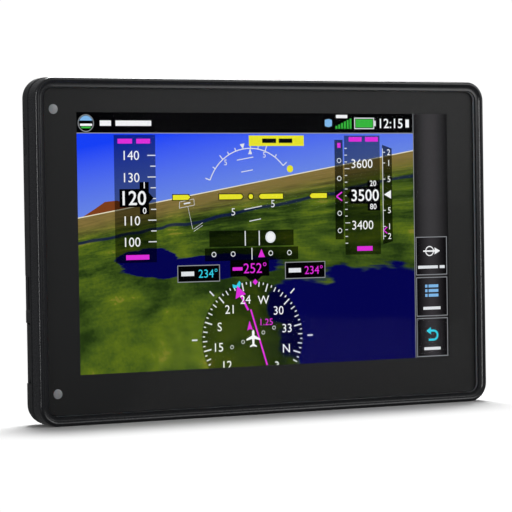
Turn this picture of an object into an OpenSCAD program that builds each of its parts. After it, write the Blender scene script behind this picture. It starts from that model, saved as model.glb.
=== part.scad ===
/* [Case] */
// Width of the case, left to right
case_w = 183; // [178:0.5:190]
// Height of the case as it stands
case_h = 121; // [119:0.5:126]
// Depth from the front rim to the battery's outer face
case_d = 23.5; // [23.5:0.1:25]
// Radius of the case's four corners, seen from the front
corner_r = 7.2; // [6.5:0.1:9]
// Wall thickness of the two shells
wall = 2.2; // [2:0.1:2.4]
// Depth of the front frame's side band, up to the parting line
frame_d = 7; // [6.8:0.1:7.2]
// Depth of the case round its edge, outside the raised back
edge_d = 16; // [15.5:0.1:16.5]
// Rounding of the edge between the side walls and the back
edge_r = 5.5; // [4:0.1:5.6]
// Step by which the rear shell stands out past the front frame
lip = 0.2; // [0:0.05:0.3]

/* [Front] */
// Width of the cover glass
glass_w = 175.4; // [174:0.1:175.6]
// Height of the cover glass
glass_h = 113.8; // [113:0.1:113.8]
// Thickness of the cover glass
glass_t = 1.1; // [0.7:0.1:1.1]
// How far the glass lies below the top of the rim
glass_recess = 1; // [0.8:0.1:1]
// Radius of the bead that runs round the front rim
bead_r = 0.95; // [0.7:0.05:1]
// Width of the visible picture
view_w = 151.4; // [150:0.1:152]
// Height of the visible picture
view_h = 91.4; // [88:0.1:92]
// How far the picture's centre lies above the middle of the case
view_rise = 2.6; // [2:0.1:3]
// Diameter of the two light sensor windows
sensor_dia = 3.4; // [3:0.1:3.5]

/* [Left side] */
// Height of the power key
key_h = 9.1; // [8:0.1:10]
// Lower end of the port door's pocket
door_z0 = 14.7; // [14.5:0.1:15]
// Height of the port door's hinge pin
door_pin_z = 33.6; // [33.4:0.1:33.8]

/* [Back] */
// Width of the raised back
back_w = 132; // [130:1:136]
// Height of the raised back, from the bottom
back_h = 105; // [105:1:108]
// Spacing of the mounting holes, left to right
mount_dx = 38; // [38:0.05:38.1]
// Spacing of the mounting holes, bottom to top
mount_dz = 30; // [30:0.05:30.2]
// Radius of the mounting inserts' tapped bore
mount_bore_r = 1.65; // [1.6:0.05:1.7]

/* [Hidden] */
$fn = 48;

// Depths are counted from the front rim towards the back, and turned into Y here.
front_y = -case_d / 2;
cut = 0.5;                      // how far a cutter runs past the surface that it opens
mid_z = case_h / 2;

// Front frame and glass
frame_w = case_w - 2 * lip;
frame_h = case_h - lip;
frame_z = frame_h / 2;
frame_r = corner_r - lip;
shell_h = case_h - 0.1;         // the rear shell's edge clears the surface that the foot stands on
shell_z = case_h - shell_h / 2;
band_u = 3.3;                   // rim to inner wall, across the front
band_u0 = 1.9;                  // where the hollow of the band begins
dish_r = 3.1;                   // hollow of the band
dish_u = 2.5;
dish_rise = 2.4;
core_r = 0.5;                   // the middle of a corner, which the block inside it fills
seat_u = 5;                     // how far in the swept part of the glass seat reaches
seal_u0 = 0.9;
seal_u1 = 1.5;
seal_t = 0.6;
glass_r = 3.4;
glass_z = frame_z;
ledge_d0 = glass_recess + glass_t + 0.4;
ledge_d1 = ledge_d0 + 1.5;
film_t = 0.1;
film_d = glass_recess + glass_t;
sensor_r = sensor_dia / 2;
sensor_x = -83.9;
sensor_zs = [mid_z - 49.3, mid_z + 49.3];
pipe_hole_r = sensor_r + 0.1;
pipe_neck_r = sensor_r - 0.7;   // the light guide behind the ledge
pipe_gap = 0.2;
view_x = 0.4;                   // the picture stands a little to the right of the middle
view_z = mid_z + view_rise;

// Display stack
panel_w = 163.6;
panel_z0 = 13.3;
panel_z1 = 111.3;
touch_z1 = 112.6;
touch_d0 = film_d + film_t;
touch_d1 = touch_d0 + 0.5;
lcd_d1 = touch_d1 + 1.8;
light_d1 = lcd_d1 + 2;
window_w = 166.8;
window_z0 = 9.5;
window_z1 = 112.8;

// Chassis and boards
chassis_d0 = light_d1;
chassis_d1 = chassis_d0 + 1;
board_d0 = 11.2;
board_d1 = 12.4;
board_x0 = -80;
board_x1 = 78;
board_z0 = 13;
board_z1 = 112;
lobe_x0 = -85.2;                // the board's extra tongue at the side sockets
lobe_z1 = 56;
can_h = 2.5;

// Screws that close the case, as [x, z]
screw_at = [[-83.5, 7.5], [83.5, 7.5], [-85.5, 64], [85.5, 64], [-83.5, 114.2], [83.5, 114.2]];
screw_r = 1.25;
screw_head_r = 2.2;
screw_tip_d = 3.6;
screw_seat_d = 13.2;
boss_r = 3;
board_screw_at = [[-70, 18], [70, 18], [-70, 106], [70, 106]];

// Side sockets
wall_x = -case_w / 2;
door_x = wall_x + 2.4;          // hinge axis
door_face = 0.35;               // how far the door lies below the wall
door_d0 = 8;
door_d1 = 13.8;
door_gap = 0.2;
door_roll_r = 2.05;             // the door's rolled top, round its pin
door_inner_x = wall_x + 1.95;
knuckle_r = 1.2;
pin_r = 0.6;
pin_clear = 0.05;
well_x = wall_x + 2.7;          // floor of the door's pocket
usb_z = 25;
usb_w = 8.94;
usb_t = 3.26;
usb_wall = 0.3;
usb_d = board_d0 - usb_t / 2;
card_z = 46.15;
card_w = 11;
card_t = 0.8;
card_l = 15;
card_d = 10.5;
card_x = wall_x + 1.1;
slot_gap = 0.2;
scoop_depth = 0.8;
scoop_z0 = 39.5;
scoop_z1 = 52.8;
key_z = 98.75;
key_d0 = 8.6;
key_d1 = 13;
key_gap = 0.2;
key_r = 1.4;

// Raised back, battery bay and mount
back_d = case_d - 0.5;
back_r = 6;
back_z0 = 3;
foot_w = 100;
back_edge_r = 2.5;
bay_x0 = -55.5;
bay_x1 = 55.8;
bay_z0 = 11.7;
bay_z1 = 62.3;
bay_d = 14.9;
bay_wall = 3.2;
bay_floor_d = 13.3;
pack_x0 = -55.2;
pack_x1 = 55.2;
pack_z0 = 12;
pack_z1 = 62;
pack_d0 = 15.2;
pack_base_d1 = 15.9;
pack_pivot_r = 2.5;             // distance of the hinge axis from the pack's end and outer face
pack_pivot_x = pack_x0 + pack_pivot_r;
pack_pivot_d = case_d - pack_pivot_r;
pack_chamfer = 1.5;
trunnion_r = 1.5;
trunnion_l = 2.5;
trunnion_clear = 0.06;
pack_wall = 1.2;
cell_x0 = -50;
cell_x1 = 33;
cell_d0 = 16;
cell_d1 = 22.2;
hub_x = 46;
hub_z = 37;
hub_pocket_r = 9.2;
hub_pocket_d = 20.9;
hub_screw_r = 2;
hub_tip_r = 1.4;
hub_head_r = 4.2;
ring_r = 6.6;
ring_wire_r = 0.7;
ring_d = 22.4;
mount_z = 83.5;
insert_r = 2.8;
insert_l = 6.5;
jack_x = 76;
jack_z = 100;

// Depth to Y
function y_at(d) = front_y + d;

// Rounded rectangle, centred, seen from the front
module outline(w, h, r) {
    square([w - 2 * r, h], center = true);
    square([w, h - 2 * r], center = true);
    for (sx = [-1, 1], sy = [-1, 1])
        translate([sx * (w / 2 - r), sy * (h / 2 - r)]) circle(r);
}

// Moves a flat shape drawn as seen from the front to between two depths
module at_depth(d0, d1) {
    translate([0, y_at(d1), 0]) rotate([90, 0, 0]) linear_extrude(d1 - d0) children();
}

// Rounded plate between two depths
module plate(w, h, r, d0, d1, cx = 0, cz = mid_z) {
    at_depth(d0, d1) translate([cx, cz]) outline(w, h, r);
}

// Square block given by its limits
module block(x0, x1, d0, d1, z0, z1) {
    translate([x0, y_at(d0), z0]) cube([x1 - x0, d1 - d0, z1 - z0]);
}

// Round bar that runs front to back
module post(x, z, r, d0, d1) {
    translate([x, y_at(d1), z]) rotate([90, 0, 0]) cylinder(r = r, h = d1 - d0);
}

// Sweeps a section round a rounded rectangle: its points are [distance in from the edge, depth]
module swept_rim(w, h, r, cz, section) {
    for (c = [[1, 1, -90], [1, -1, 0], [-1, -1, 90], [-1, 1, 180]])
        translate([c[0] * (w / 2 - r), front_y, cz + c[1] * (h / 2 - r)]) rotate([-90, 0, 0])
            rotate(c[2]) rotate_extrude(angle = 90) polygon([for (p = section) [r - p[0], p[1]]]);
    for (s = [-1, 1]) {
        translate([s * w / 2, front_y, cz - h / 2 + r]) linear_extrude(h - 2 * r)
            polygon([for (p = section) [-s * p[0], p[1]]]);
        translate([r - w / 2, front_y, cz + s * h / 2]) rotate([0, 90, 0]) linear_extrude(w - 2 * r)
            polygon([for (p = section) [s * p[0], p[1]]]);
    }
}

// Block with rounded corners and a rounded back edge
module pillow(w, h, r, edge, d0, d1, cz = mid_z) {
    inner = r - core_r;
    round_over = [for (a = [90:10:180]) [edge + edge * cos(a), d1 - edge + edge * sin(a)]];
    at_depth(d0, d1) translate([0, cz]) square([w - 2 * inner + 0.4, h - 2 * inner + 0.4], center = true);
    swept_rim(w, h, r, cz, concat([[0, d0], [inner, d0], [inner, d1]], round_over));
}

// Outer shape of the rear half of the case, taken in by a step on every side
module case_shape(step = 0, d0 = frame_d) {
    pillow(case_w - 2 * step, shell_h - 2 * step, corner_r - step, edge_r - step, d0, edge_d - step, shell_z);
}

// Section of the front frame: a round bead, a hollowed band, the glass seat and the side wall with its groove
frame_section = concat(
    [for (a = [180:12.5:330]) [bead_r + bead_r * cos(a), bead_r + bead_r * sin(a)]],
    [for (u = [band_u0:0.2:band_u]) [u, sqrt(dish_r * dish_r - pow(u - dish_u, 2)) - dish_rise]],
    [[band_u, ledge_d0],
    [seat_u, ledge_d0],
    [seat_u, ledge_d1],
    [wall, ledge_d1],
    [wall, frame_d],
    [seal_u1, frame_d],
    [seal_u1, frame_d - seal_t],
    [seal_u0, frame_d - seal_t],
    [seal_u0, frame_d],
    [0, frame_d]]);

module front_frame() {
    color("#1c1d1f") difference() {
        union() {
            swept_rim(frame_w, frame_h, frame_r, frame_z, frame_section);
            difference() {
                plate(frame_w - 8.4, frame_h - 8.4, frame_r - 4.2, ledge_d0 + 0.05, ledge_d1 - 0.05,
                    cz = frame_z);
                block(-window_w / 2, window_w / 2, ledge_d0 - cut, ledge_d1 + cut, window_z0, window_z1);
            }
            for (p = screw_at) post(p[0], p[1], boss_r, ledge_d1 - 0.1, chassis_d0);
        }
        for (p = screw_at) post(p[0], p[1], screw_r, screw_tip_d - 0.3, frame_d + cut);
        for (z = sensor_zs) {
            post(sensor_x, z, pipe_hole_r, ledge_d0 - cut, ledge_d1 + pipe_gap);
            post(sensor_x, z, pipe_neck_r + pipe_gap, ledge_d0, chassis_d0 + cut);
        }
    }
}

// Square-section ring that fills the groove between the two shells
module case_seal() {
    color("#3a3d40") swept_rim(frame_w, frame_h, frame_r, frame_z,
        [[seal_u0, frame_d - seal_t], [seal_u1, frame_d - seal_t], [seal_u1, frame_d], [seal_u0, frame_d]]);
}

module cover_glass() {
    color("#101114") plate(glass_w, glass_h, glass_r, glass_recess, film_d, cz = glass_z);
}

// Black printed film behind the glass, open over the picture and the two sensor windows
module mask_film() {
    color("#050506") difference() {
        plate(glass_w - 0.6, glass_h - 0.6, glass_r - 0.3, film_d, film_d + film_t, cz = glass_z);
        plate(view_w, view_h, 0.4, film_d - cut, film_d + film_t + cut, view_x, view_z);
        for (z = sensor_zs) post(sensor_x, z, sensor_r, film_d - cut, film_d + film_t + cut);
    }
}

module glass_adhesive() {
    color("#2a2a2a") difference() {
        plate(glass_w - 1, glass_h - 1, glass_r - 0.5, film_d + film_t, ledge_d0, cz = glass_z);
        block(-window_w / 2, window_w / 2, film_d - cut, ledge_d0 + cut, window_z0, window_z1);
        for (z = sensor_zs) post(sensor_x, z, pipe_hole_r, film_d - cut, ledge_d0 + cut);
    }
}

// Diffusing light guide that stands behind one sensor window
module light_pipe(z) {
    color("#8a8c8e") {
        post(sensor_x, z, sensor_r - 0.02, film_d, ledge_d1);
        post(sensor_x, z, pipe_neck_r, ledge_d1, chassis_d0 - 0.1);
    }
}

module light_pipe_upper() { light_pipe(sensor_zs[1]); }

module light_pipe_lower() { light_pipe(sensor_zs[0]); }

module touch_sensor() {
    color("#303338") block(-panel_w / 2, panel_w / 2, touch_d0, touch_d1, panel_z0, touch_z1);
}

module lcd_panel() {
    color("#20324a") block(-panel_w / 2, panel_w / 2, touch_d1, lcd_d1, panel_z0, panel_z1);
}

// Light guide in its folded tray
module backlight() {
    color("#d8dadb") difference() {
        block(-panel_w / 2, panel_w / 2, lcd_d1, light_d1, panel_z0, panel_z1);
        for (sx = [-1, 1]) block(sx * 60 - 8, sx * 60 + 8, light_d1 - 0.4, light_d1 + cut, 30, 90);
    }
}

// Flat cable from the panel's lower edge, back round the chassis to the board
module display_flex() {
    color("#b5651d") {
        block(-20, 20, 2.9, 3.1, 10.4, panel_z0);
        block(-20, 20, 2.9, 11, 10.2, 10.4);
        block(-20, 20, 10.8, 11, 10.4, 20);
    }
}

module touch_flex() {
    color("#b5651d") {
        block(30, 42, 2.4, 2.6, 11.4, panel_z0);
        block(30, 42, 2.4, 11, 11.2, 11.4);
        block(30, 42, 10.8, 11, 11.4, 20);
    }
}

// Cast plate that carries the display in front and the board behind
module chassis() {
    color("#8d9094") difference() {
        union() {
            plate(frame_w - 6, frame_h - 6, 4, chassis_d0, chassis_d1, cz = frame_z);
            for (p = board_screw_at) post(p[0], p[1], 2.6, chassis_d1 - 0.1, board_d0);
        }
        for (p = screw_at) post(p[0], p[1], screw_r + 0.25, chassis_d0 - cut, chassis_d1 + cut);
        for (p = board_screw_at) post(p[0], p[1], 1, chassis_d0 + 0.4, board_d0 + cut);
        for (x = [-50, -18, 18, 50]) plate(22, 46, 3, chassis_d0 - cut, chassis_d1 + cut, x, 66);
        block(-24, 46, chassis_d0 - cut, chassis_d1 + cut, 2, 12.2);
        block(wall_x, -81, chassis_d0 - cut, chassis_d1 + cut, 13, 56);
    }
}

module main_board() {
    color("#1f5c3a") difference() {
        union() {
            block(board_x0, board_x1, board_d0, board_d1, board_z0, board_z1);
            block(lobe_x0, board_x0 + 1, board_d0, board_d1, board_z0, lobe_z1);
        }
        for (p = board_screw_at) post(p[0], p[1], 1.1, board_d0 - cut, board_d1 + cut);
        post(hub_x, hub_z, 4.6, board_d0 - cut, board_d1 + cut);
    }
}

// Folded metal lid over a group of chips: five walls, open towards the board
module shield_can(x0, x1, z0, z1) {
    color("#b9bcc0") difference() {
        block(x0, x1, board_d1, board_d1 + can_h, z0, z1);
        block(x0 + 0.3, x1 - 0.3, board_d1 - cut, board_d1 + can_h - 0.3, z0 + 0.3, z1 - 0.3);
    }
}

module shield_can_main() { shield_can(-42, 8, 68, 102); }

module shield_can_radio() { shield_can(12, 36, 72, 100); }

module heat_spreader() {
    color("#c8c9cb") plate(76, 32, 3, board_d1 + can_h, board_d1 + can_h + 0.4, -3, 85);
}

// Square ceramic patch on its ground plate, with the feed pin through the middle
module gnss_antenna() {
    color("#cfc6b4") {
        plate(20, 20, 1, board_d1, board_d1 + 0.6, 52, 88);
        plate(18, 18, 1, board_d1 + 0.6, board_d1 + 4.2, 52, 88);
        post(52, 88, 0.9, board_d1 + 4.2, board_d1 + 4.5);
    }
}

module wireless_antenna() {
    color("#2d2f33") plate(20, 3.6, 0.5, 8.2, 12.2, -60, 114);
}

module backup_cell() {
    color("#c9cbcd") post(-54, 85, 5, board_d1, board_d1 + 2.1);
}

// Metal card reader, with a slot through its outer end
module card_socket() {
    color("#b4b7ba") difference() {
        block(wall_x + wall + 0.2, wall_x + 18, board_d0 - 1.7, board_d0, card_z - 7, card_z + 7);
        block(wall_x, wall_x + 17.7, card_d - card_t / 2 - 0.15, card_d + card_t / 2 + 0.1,
            card_z - card_w / 2 - slot_gap, card_z + card_w / 2 + slot_gap);
    }
}

// Stadium-shaped bar that runs along X
module side_bar(w, t, x0, x1, d, z) {
    translate([x0, y_at(d), z]) rotate([90, 0, 90]) linear_extrude(x1 - x0) {
        square([t, w - t], center = true);
        for (s = [-1, 1]) translate([0, s * (w - t) / 2]) circle(t / 2);
    }
}

module usb_receptacle() {
    color("#b9bcc0") {
        difference() {
            side_bar(usb_w, usb_t, well_x + 0.1, well_x + 7.4, usb_d, usb_z);
            side_bar(usb_w - 2 * usb_wall, usb_t - 2 * usb_wall, well_x, well_x + 6.6, usb_d, usb_z);
        }
        block(well_x + 0.7, well_x + 6.7, usb_d - 0.35, usb_d + 0.35, usb_z - 3.3, usb_z + 3.3);
    }
}

// Coaxial socket for an outside antenna, flush with the back
module antenna_jack() {
    color("#c9a24a") {
        difference() {
            union() {
                plate(7, 7, 0.5, board_d1, board_d1 + 1.2, jack_x, jack_z);
                post(jack_x, jack_z, 2.4, board_d1 + 1, edge_d - 0.1);
            }
            post(jack_x, jack_z, 1.75, board_d1 + 0.8, edge_d + cut);
        }
        post(jack_x, jack_z, 0.3, board_d1 + 0.6, edge_d - 1);
    }
}

module key_board() {
    color("#1f5c3a") block(wall_x + 5.6, wall_x + 6.4, key_d0 - 0.9, key_d1, key_z - 8, key_z + 8);
}

// Dome switch with the plunger that the power key meets
module key_switch() {
    color("#303236") {
        block(wall_x + 4.8, wall_x + 5.6, 9.2, 12.4, key_z - 2.2, key_z + 2.2);
        translate([wall_x + 4.4, y_at(10.8), key_z]) rotate([0, 90, 0]) cylinder(r = 1, h = 0.5);
    }
}

// Sprung contact block that stands in the floor of the battery bay
module battery_contacts() {
    color("#caa95a") {
        block(38, 52, board_d1, bay_d, 50, 58);
        for (i = [0:3]) post(39.8 + i * 3.4, 54, 0.7, bay_d, bay_d + 0.15);
    }
}

// Brass insert with a plain bore
module insert(x, z, r, bore, d0, d1) {
    color("#b08d3c") difference() {
        post(x, z, r, d0, d1);
        post(x, z, bore, d0 - cut, d1 + cut);
    }
}

module pack_nut() { insert(hub_x, hub_z, 3, 2, 9.4, bay_d); }

function mount_at(i) = [(i % 2 == 0 ? -1 : 1) * mount_dx / 2, mount_z + (i < 2 ? -1 : 1) * mount_dz / 2];

module mount_insert(i) {
    insert(mount_at(i)[0], mount_at(i)[1], insert_r, mount_bore_r, back_d - insert_l, back_d);
}

module mount_insert_1() { mount_insert(0); }

module mount_insert_2() { mount_insert(1); }

module mount_insert_3() { mount_insert(2); }

module mount_insert_4() { mount_insert(3); }

// Space of the port door's pocket, as seen from the front
module pocket_outline() {
    translate([wall_x - cut, door_z0]) square([well_x - wall_x + cut, door_pin_z - door_z0]);
    translate([door_x, door_pin_z]) circle(door_roll_r + door_gap);
    translate([wall_x - cut, door_pin_z]) square([door_x - wall_x + cut, door_roll_r + door_gap]);
}

// Hollow inside the rear shell: stepped in at the rounded edge, deeper behind the raised back
module shell_hollow() {
    for (s = [[wall, frame_d - cut, edge_d - 3.7], [3.6, edge_d - 3.8, edge_d - wall]])
        plate(case_w - 2 * s[0], shell_h - 2 * s[0], corner_r - s[0], s[1], s[2], cz = shell_z);
    plate(back_w - 2 * wall, back_h - back_z0 - 2 * wall, back_r - wall, edge_d - 3, back_d - wall,
        cz = (back_z0 + back_h) / 2);
}

module rear_shell() {
    color("#232427") difference() {
        union() {
            difference() {
                union() {
                    case_shape();
                    pillow(back_w, back_h - back_z0, back_r, back_edge_r, 14.2, back_d,
                        (back_z0 + back_h) / 2);
                }
                shell_hollow();
            }
            block(-foot_w / 2, foot_w / 2, 8.5, back_d - back_edge_r - 0.2, 0, 4.5);
            block(bay_x0 - 1.6, bay_x1 + 1.6, bay_floor_d, back_d - 0.1, bay_z0 - bay_wall, bay_z1 + bay_wall);
            post(hub_x, hub_z, 4.2, 9, bay_floor_d + 0.1);
            for (p = screw_at) post(p[0], p[1], boss_r, chassis_d1, edge_d - wall + 0.2);
            for (i = [0:3]) post(mount_at(i)[0], mount_at(i)[1], 4.4, back_d - insert_l - 0.8, back_d - 1);
            block(wall_x + wall - 0.2, wall_x + 3.9, frame_d + 0.3, 14.3, door_z0 - 1.5, 31);
            block(wall_x + wall - 0.2, wall_x + 5.9, frame_d + 0.3, 14.6, 30, 37.3);
        }
        block(bay_x0, bay_x1, bay_d, back_d + 1, bay_z0, bay_z1);
        for (s = [0, 1])
            translate([pack_pivot_x, y_at(pack_pivot_d), s == 0 ? pack_z0 - trunnion_l - 0.2 : pack_z1 - 1])
                cylinder(r = trunnion_r + trunnion_clear, h = trunnion_l + 1.2);
        insert_holes();
        for (p = screw_at) {
            post(p[0], p[1], screw_r + 0.2, chassis_d1 - cut, edge_d + cut);
            post(p[0], p[1], screw_head_r + 0.3, screw_seat_d, edge_d + cut);
        }
        at_depth(door_d0 - door_gap, door_d1 + door_gap) pocket_outline();
        translate([door_x, y_at(frame_d + 0.4), door_pin_z]) rotate([-90, 0, 0]) cylinder(r = pin_r, h = 7);
        side_bar(usb_w + 0.2, usb_t + 0.2, wall_x, wall_x + 6, usb_d, usb_z);
        card_scoop();
        block(wall_x - cut, wall_x + 4, card_d - card_t / 2 - 0.2, card_d + card_t / 2 + 0.2,
            card_z - card_w / 2 - slot_gap, card_z + card_w / 2 + slot_gap);
        key_bar(key_gap, wall_x - cut, wall_x + 4);
        post(jack_x, jack_z, 2.6, edge_d - 4, edge_d + cut);
        block(37.8, 52.2, bay_floor_d - cut, bay_d + cut, 49.8, 58.2);
    }
}

module insert_holes() {
    for (i = [0:3]) post(mount_at(i)[0], mount_at(i)[1], insert_r, back_d - insert_l, back_d + cut);
    post(hub_x, hub_z, 3, 9.4, bay_d + cut);
    post(hub_x, hub_z, 2, 8, 10);
}

// Finger recess over the card slot, with sloping ends
module card_scoop() {
    at_depth(frame_d + 0.9, edge_d + 1) polygon([
        [wall_x - cut, scoop_z0 - cut],
        [wall_x, scoop_z0],
        [wall_x + scoop_depth, scoop_z0 + scoop_depth],
        [wall_x + scoop_depth, scoop_z1 - scoop_depth],
        [wall_x, scoop_z1],
        [wall_x - cut, scoop_z1 + cut]]);
}

// Rounded bar along X with the power key's outline, grown by a gap
module key_bar(gap, x0, x1) {
    w = key_h + 2 * gap;
    t = key_d1 - key_d0 + 2 * gap;
    translate([x0, y_at((key_d0 + key_d1) / 2), key_z]) rotate([90, 0, 90])
        linear_extrude(x1 - x0) outline(t, w, key_r + gap);
}

// Key cap that follows the side of the case, with the flange that keeps it in
module power_key() {
    color("#2b2c2f") {
        intersection() {
            key_bar(0, wall_x - cut, wall_x + 3);
            case_shape();
        }
        block(wall_x + wall + 0.3, wall_x + wall + 1, key_d0 - 0.5, key_d1 - 0.9, key_z - 5.4, key_z + 5.4);
        translate([wall_x + wall + 0.9, y_at(10.8), key_z]) rotate([0, 90, 0]) cylinder(r = 1.2, h = 0.5);
    }
}

// Memory card with its thumb grip and keyed side
module memory_card() {
    color("#16171a") difference() {
        block(card_x, card_x + card_l, card_d - card_t / 2, card_d + card_t / 2,
            card_z - card_w / 2, card_z + card_w / 2);
        block(card_x + card_l - 6, card_x + card_l + 1, card_d - 1, card_d + 1,
            card_z + card_w / 2 - 1.3, card_z + card_w / 2 + 1);
    }
}

// Door over the side socket: a plate with a rolled top that turns on a pin
module port_door() {
    color("#2a2b2d") difference() {
        intersection() {
            at_depth(door_d0, door_d1) {
                translate([wall_x, door_z0 + door_gap])
                    square([door_inner_x - wall_x, door_pin_z - door_z0 - door_gap]);
                translate([door_x, door_pin_z]) circle(knuckle_r);
                translate([door_x - door_roll_r, door_pin_z - knuckle_r]) square([door_roll_r, knuckle_r]);
                intersection() {
                    translate([door_x, door_pin_z]) circle(door_roll_r);
                    translate([door_x - 3, door_pin_z]) square(3);
                }
            }
            case_shape(door_face);
        }
        translate([door_x, y_at(0), door_pin_z]) rotate([-90, 0, 0]) cylinder(r = pin_r + pin_clear, h = 20);
        translate([wall_x, y_at(door_d0 - 1), door_z0]) rotate([-90, 0, 0]) cylinder(r = 1.4, h = 8);
    }
}

module port_door_pin() {
    color("#b9bcc0")
        translate([door_x, y_at(frame_d + 0.4), door_pin_z]) rotate([-90, 0, 0]) cylinder(r = pin_r, h = 7);
}

// Soft frame on the inside of the port door, pressed against the pocket's floor
module port_door_seal() {
    color("#4a4c4f") difference() {
        side_bar(11.4, 5, door_inner_x, well_x - 0.15, door_d0 + 2.7, usb_z);
        side_bar(9.6, 3.2, door_inner_x - 1, well_x + 1, door_d0 + 2.7, usb_z);
    }
}

// Outline of the battery pack, seen from above: round where it hinges, bevelled inside
module pack_section() {
    translate([pack_pivot_x, y_at(pack_pivot_d)]) circle(pack_pivot_r);
    translate([pack_pivot_x, y_at(pack_d0)]) square([pack_x1 - pack_pivot_x, case_d - pack_d0]);
    polygon([
        [pack_x0, y_at(pack_pivot_d)],
        [pack_x0, y_at(pack_d0 + pack_chamfer)],
        [pack_x0 + pack_chamfer, y_at(pack_d0)],
        [pack_pivot_x, y_at(pack_d0)],
        [pack_pivot_x, y_at(pack_pivot_d)]]);
}

module pack_body(d0, d1) {
    intersection() {
        translate([0, 0, pack_z0]) linear_extrude(pack_z1 - pack_z0) pack_section();
        block(pack_x0 - 1, pack_x1 + 1, d0, d1, pack_z0 - 1, pack_z1 + 1);
    }
}

// Outer shell of the battery pack, with its hinge pins and the pocket for the screw
module battery_cover() {
    color("#202124") {
        difference() {
            pack_body(pack_base_d1, case_d);
            block(cell_x0 - 0.3, cell_x1 + 0.3, pack_base_d1 - cut, cell_d1 + 0.1,
                pack_z0 + pack_wall, pack_z1 - pack_wall);
            post(hub_x, hub_z, hub_pocket_r, hub_pocket_d, case_d + cut);
            post(hub_x, hub_z, hub_screw_r + 0.06, pack_base_d1 - cut, case_d);
        }
        for (z = [pack_z0 - trunnion_l, pack_z1])
            translate([pack_pivot_x, y_at(pack_pivot_d), z]) cylinder(r = trunnion_r, h = trunnion_l);
    }
}

module battery_base() {
    color("#2b2c2f") difference() {
        pack_body(pack_d0, pack_base_d1);
        post(hub_x, hub_z, hub_screw_r + 0.06, pack_d0 - cut, pack_base_d1 + cut);
    }
}

module battery_cell(i) {
    cell_w = (cell_x1 - cell_x0) / 2;
    color("#9aa0a6") block(cell_x0 + i * cell_w + 0.2, cell_x0 + (i + 1) * cell_w - 0.2, cell_d0, cell_d1,
        pack_z0 + pack_wall + 0.2, pack_z1 - pack_wall - 0.2);
}

module battery_cell_1() { battery_cell(0); }

module battery_cell_2() { battery_cell(1); }

// Captive screw whose head is drilled across for the ring
module pack_screw() {
    color("#9da0a3") difference() {
        union() {
            post(hub_x, hub_z, hub_head_r, hub_pocket_d + 0.2, case_d);
            post(hub_x, hub_z, hub_screw_r, pack_d0, hub_pocket_d + 0.3);
            post(hub_x, hub_z, hub_tip_r, 10.4, pack_d0 + 0.1);
        }
        translate([hub_x - 6, y_at(ring_d), hub_z]) rotate([0, 90, 0]) cylinder(r = ring_wire_r + 0.05, h = 12);
    }
}

// Bent wire ring: a straight bar through the screw's head and a half circle below it
module d_ring() {
    color("#a7aaad") {
        translate([hub_x - ring_r - ring_wire_r, y_at(ring_d), hub_z]) rotate([0, 90, 0])
            cylinder(r = ring_wire_r, h = 2 * (ring_r + ring_wire_r));
        translate([hub_x, y_at(ring_d), hub_z]) rotate([-90, 0, 0])
            rotate_extrude(angle = 180) translate([ring_r, 0]) circle(ring_wire_r);
    }
}

// Pan screw with a hexagon socket, head towards the back
module pan_screw(x, z, head_r, head_d0, head_t, shank_r, tip_d) {
    color("#6f7276") difference() {
        union() {
            post(x, z, head_r, head_d0, head_d0 + head_t);
            post(x, z, shank_r, tip_d, head_d0 + 0.1);
        }
        translate([x, y_at(head_d0 + head_t), z]) rotate([-90, 0, 0])
            translate([0, 0, -head_t * 0.6]) cylinder(r = head_r * 0.45, h = head_t, $fn = 6);
    }
}

module case_screw(i) {
    pan_screw(screw_at[i][0], screw_at[i][1], screw_head_r, screw_seat_d, 1.6, screw_r, screw_tip_d);
}

module case_screw_1() { case_screw(0); }

module case_screw_2() { case_screw(1); }

module case_screw_3() { case_screw(2); }

module case_screw_4() { case_screw(3); }

module case_screw_5() { case_screw(4); }

module case_screw_6() { case_screw(5); }

module board_screw(i) {
    pan_screw(board_screw_at[i][0], board_screw_at[i][1], 1.8, board_d1, 0.8, 0.95, chassis_d1 + 0.2);
}

module board_screw_1() { board_screw(0); }

module board_screw_2() { board_screw(1); }

module board_screw_3() { board_screw(2); }

module board_screw_4() { board_screw(3); }

front_frame();
cover_glass();
mask_film();
glass_adhesive();
light_pipe_upper();
light_pipe_lower();
touch_sensor();
lcd_panel();
backlight();
display_flex();
touch_flex();
chassis();
main_board();
shield_can_main();
shield_can_radio();
heat_spreader();
gnss_antenna();
wireless_antenna();
backup_cell();
card_socket();
usb_receptacle();
antenna_jack();
key_board();
key_switch();
battery_contacts();
pack_nut();
rear_shell();
case_seal();
port_door_pin();
mount_insert_1();
mount_insert_2();
mount_insert_3();
mount_insert_4();
case_screw_1();
case_screw_2();
case_screw_3();
case_screw_4();
case_screw_5();
case_screw_6();
board_screw_1();
board_screw_2();
board_screw_3();
board_screw_4();
power_key();
memory_card();
port_door();
port_door_seal();
battery_cover();
battery_base();
battery_cell_1();
battery_cell_2();
pack_screw();
d_ring();
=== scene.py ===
"""A portable cockpit navigator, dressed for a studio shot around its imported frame.

All lengths in the classes are millimetres in the frame's own axes: X to the right, Y towards the back, Z up.
"""

import logging
import math
from dataclasses import dataclass, field
from enum import Enum

import bmesh
import bpy
from mathutils import Matrix, Vector

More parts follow.
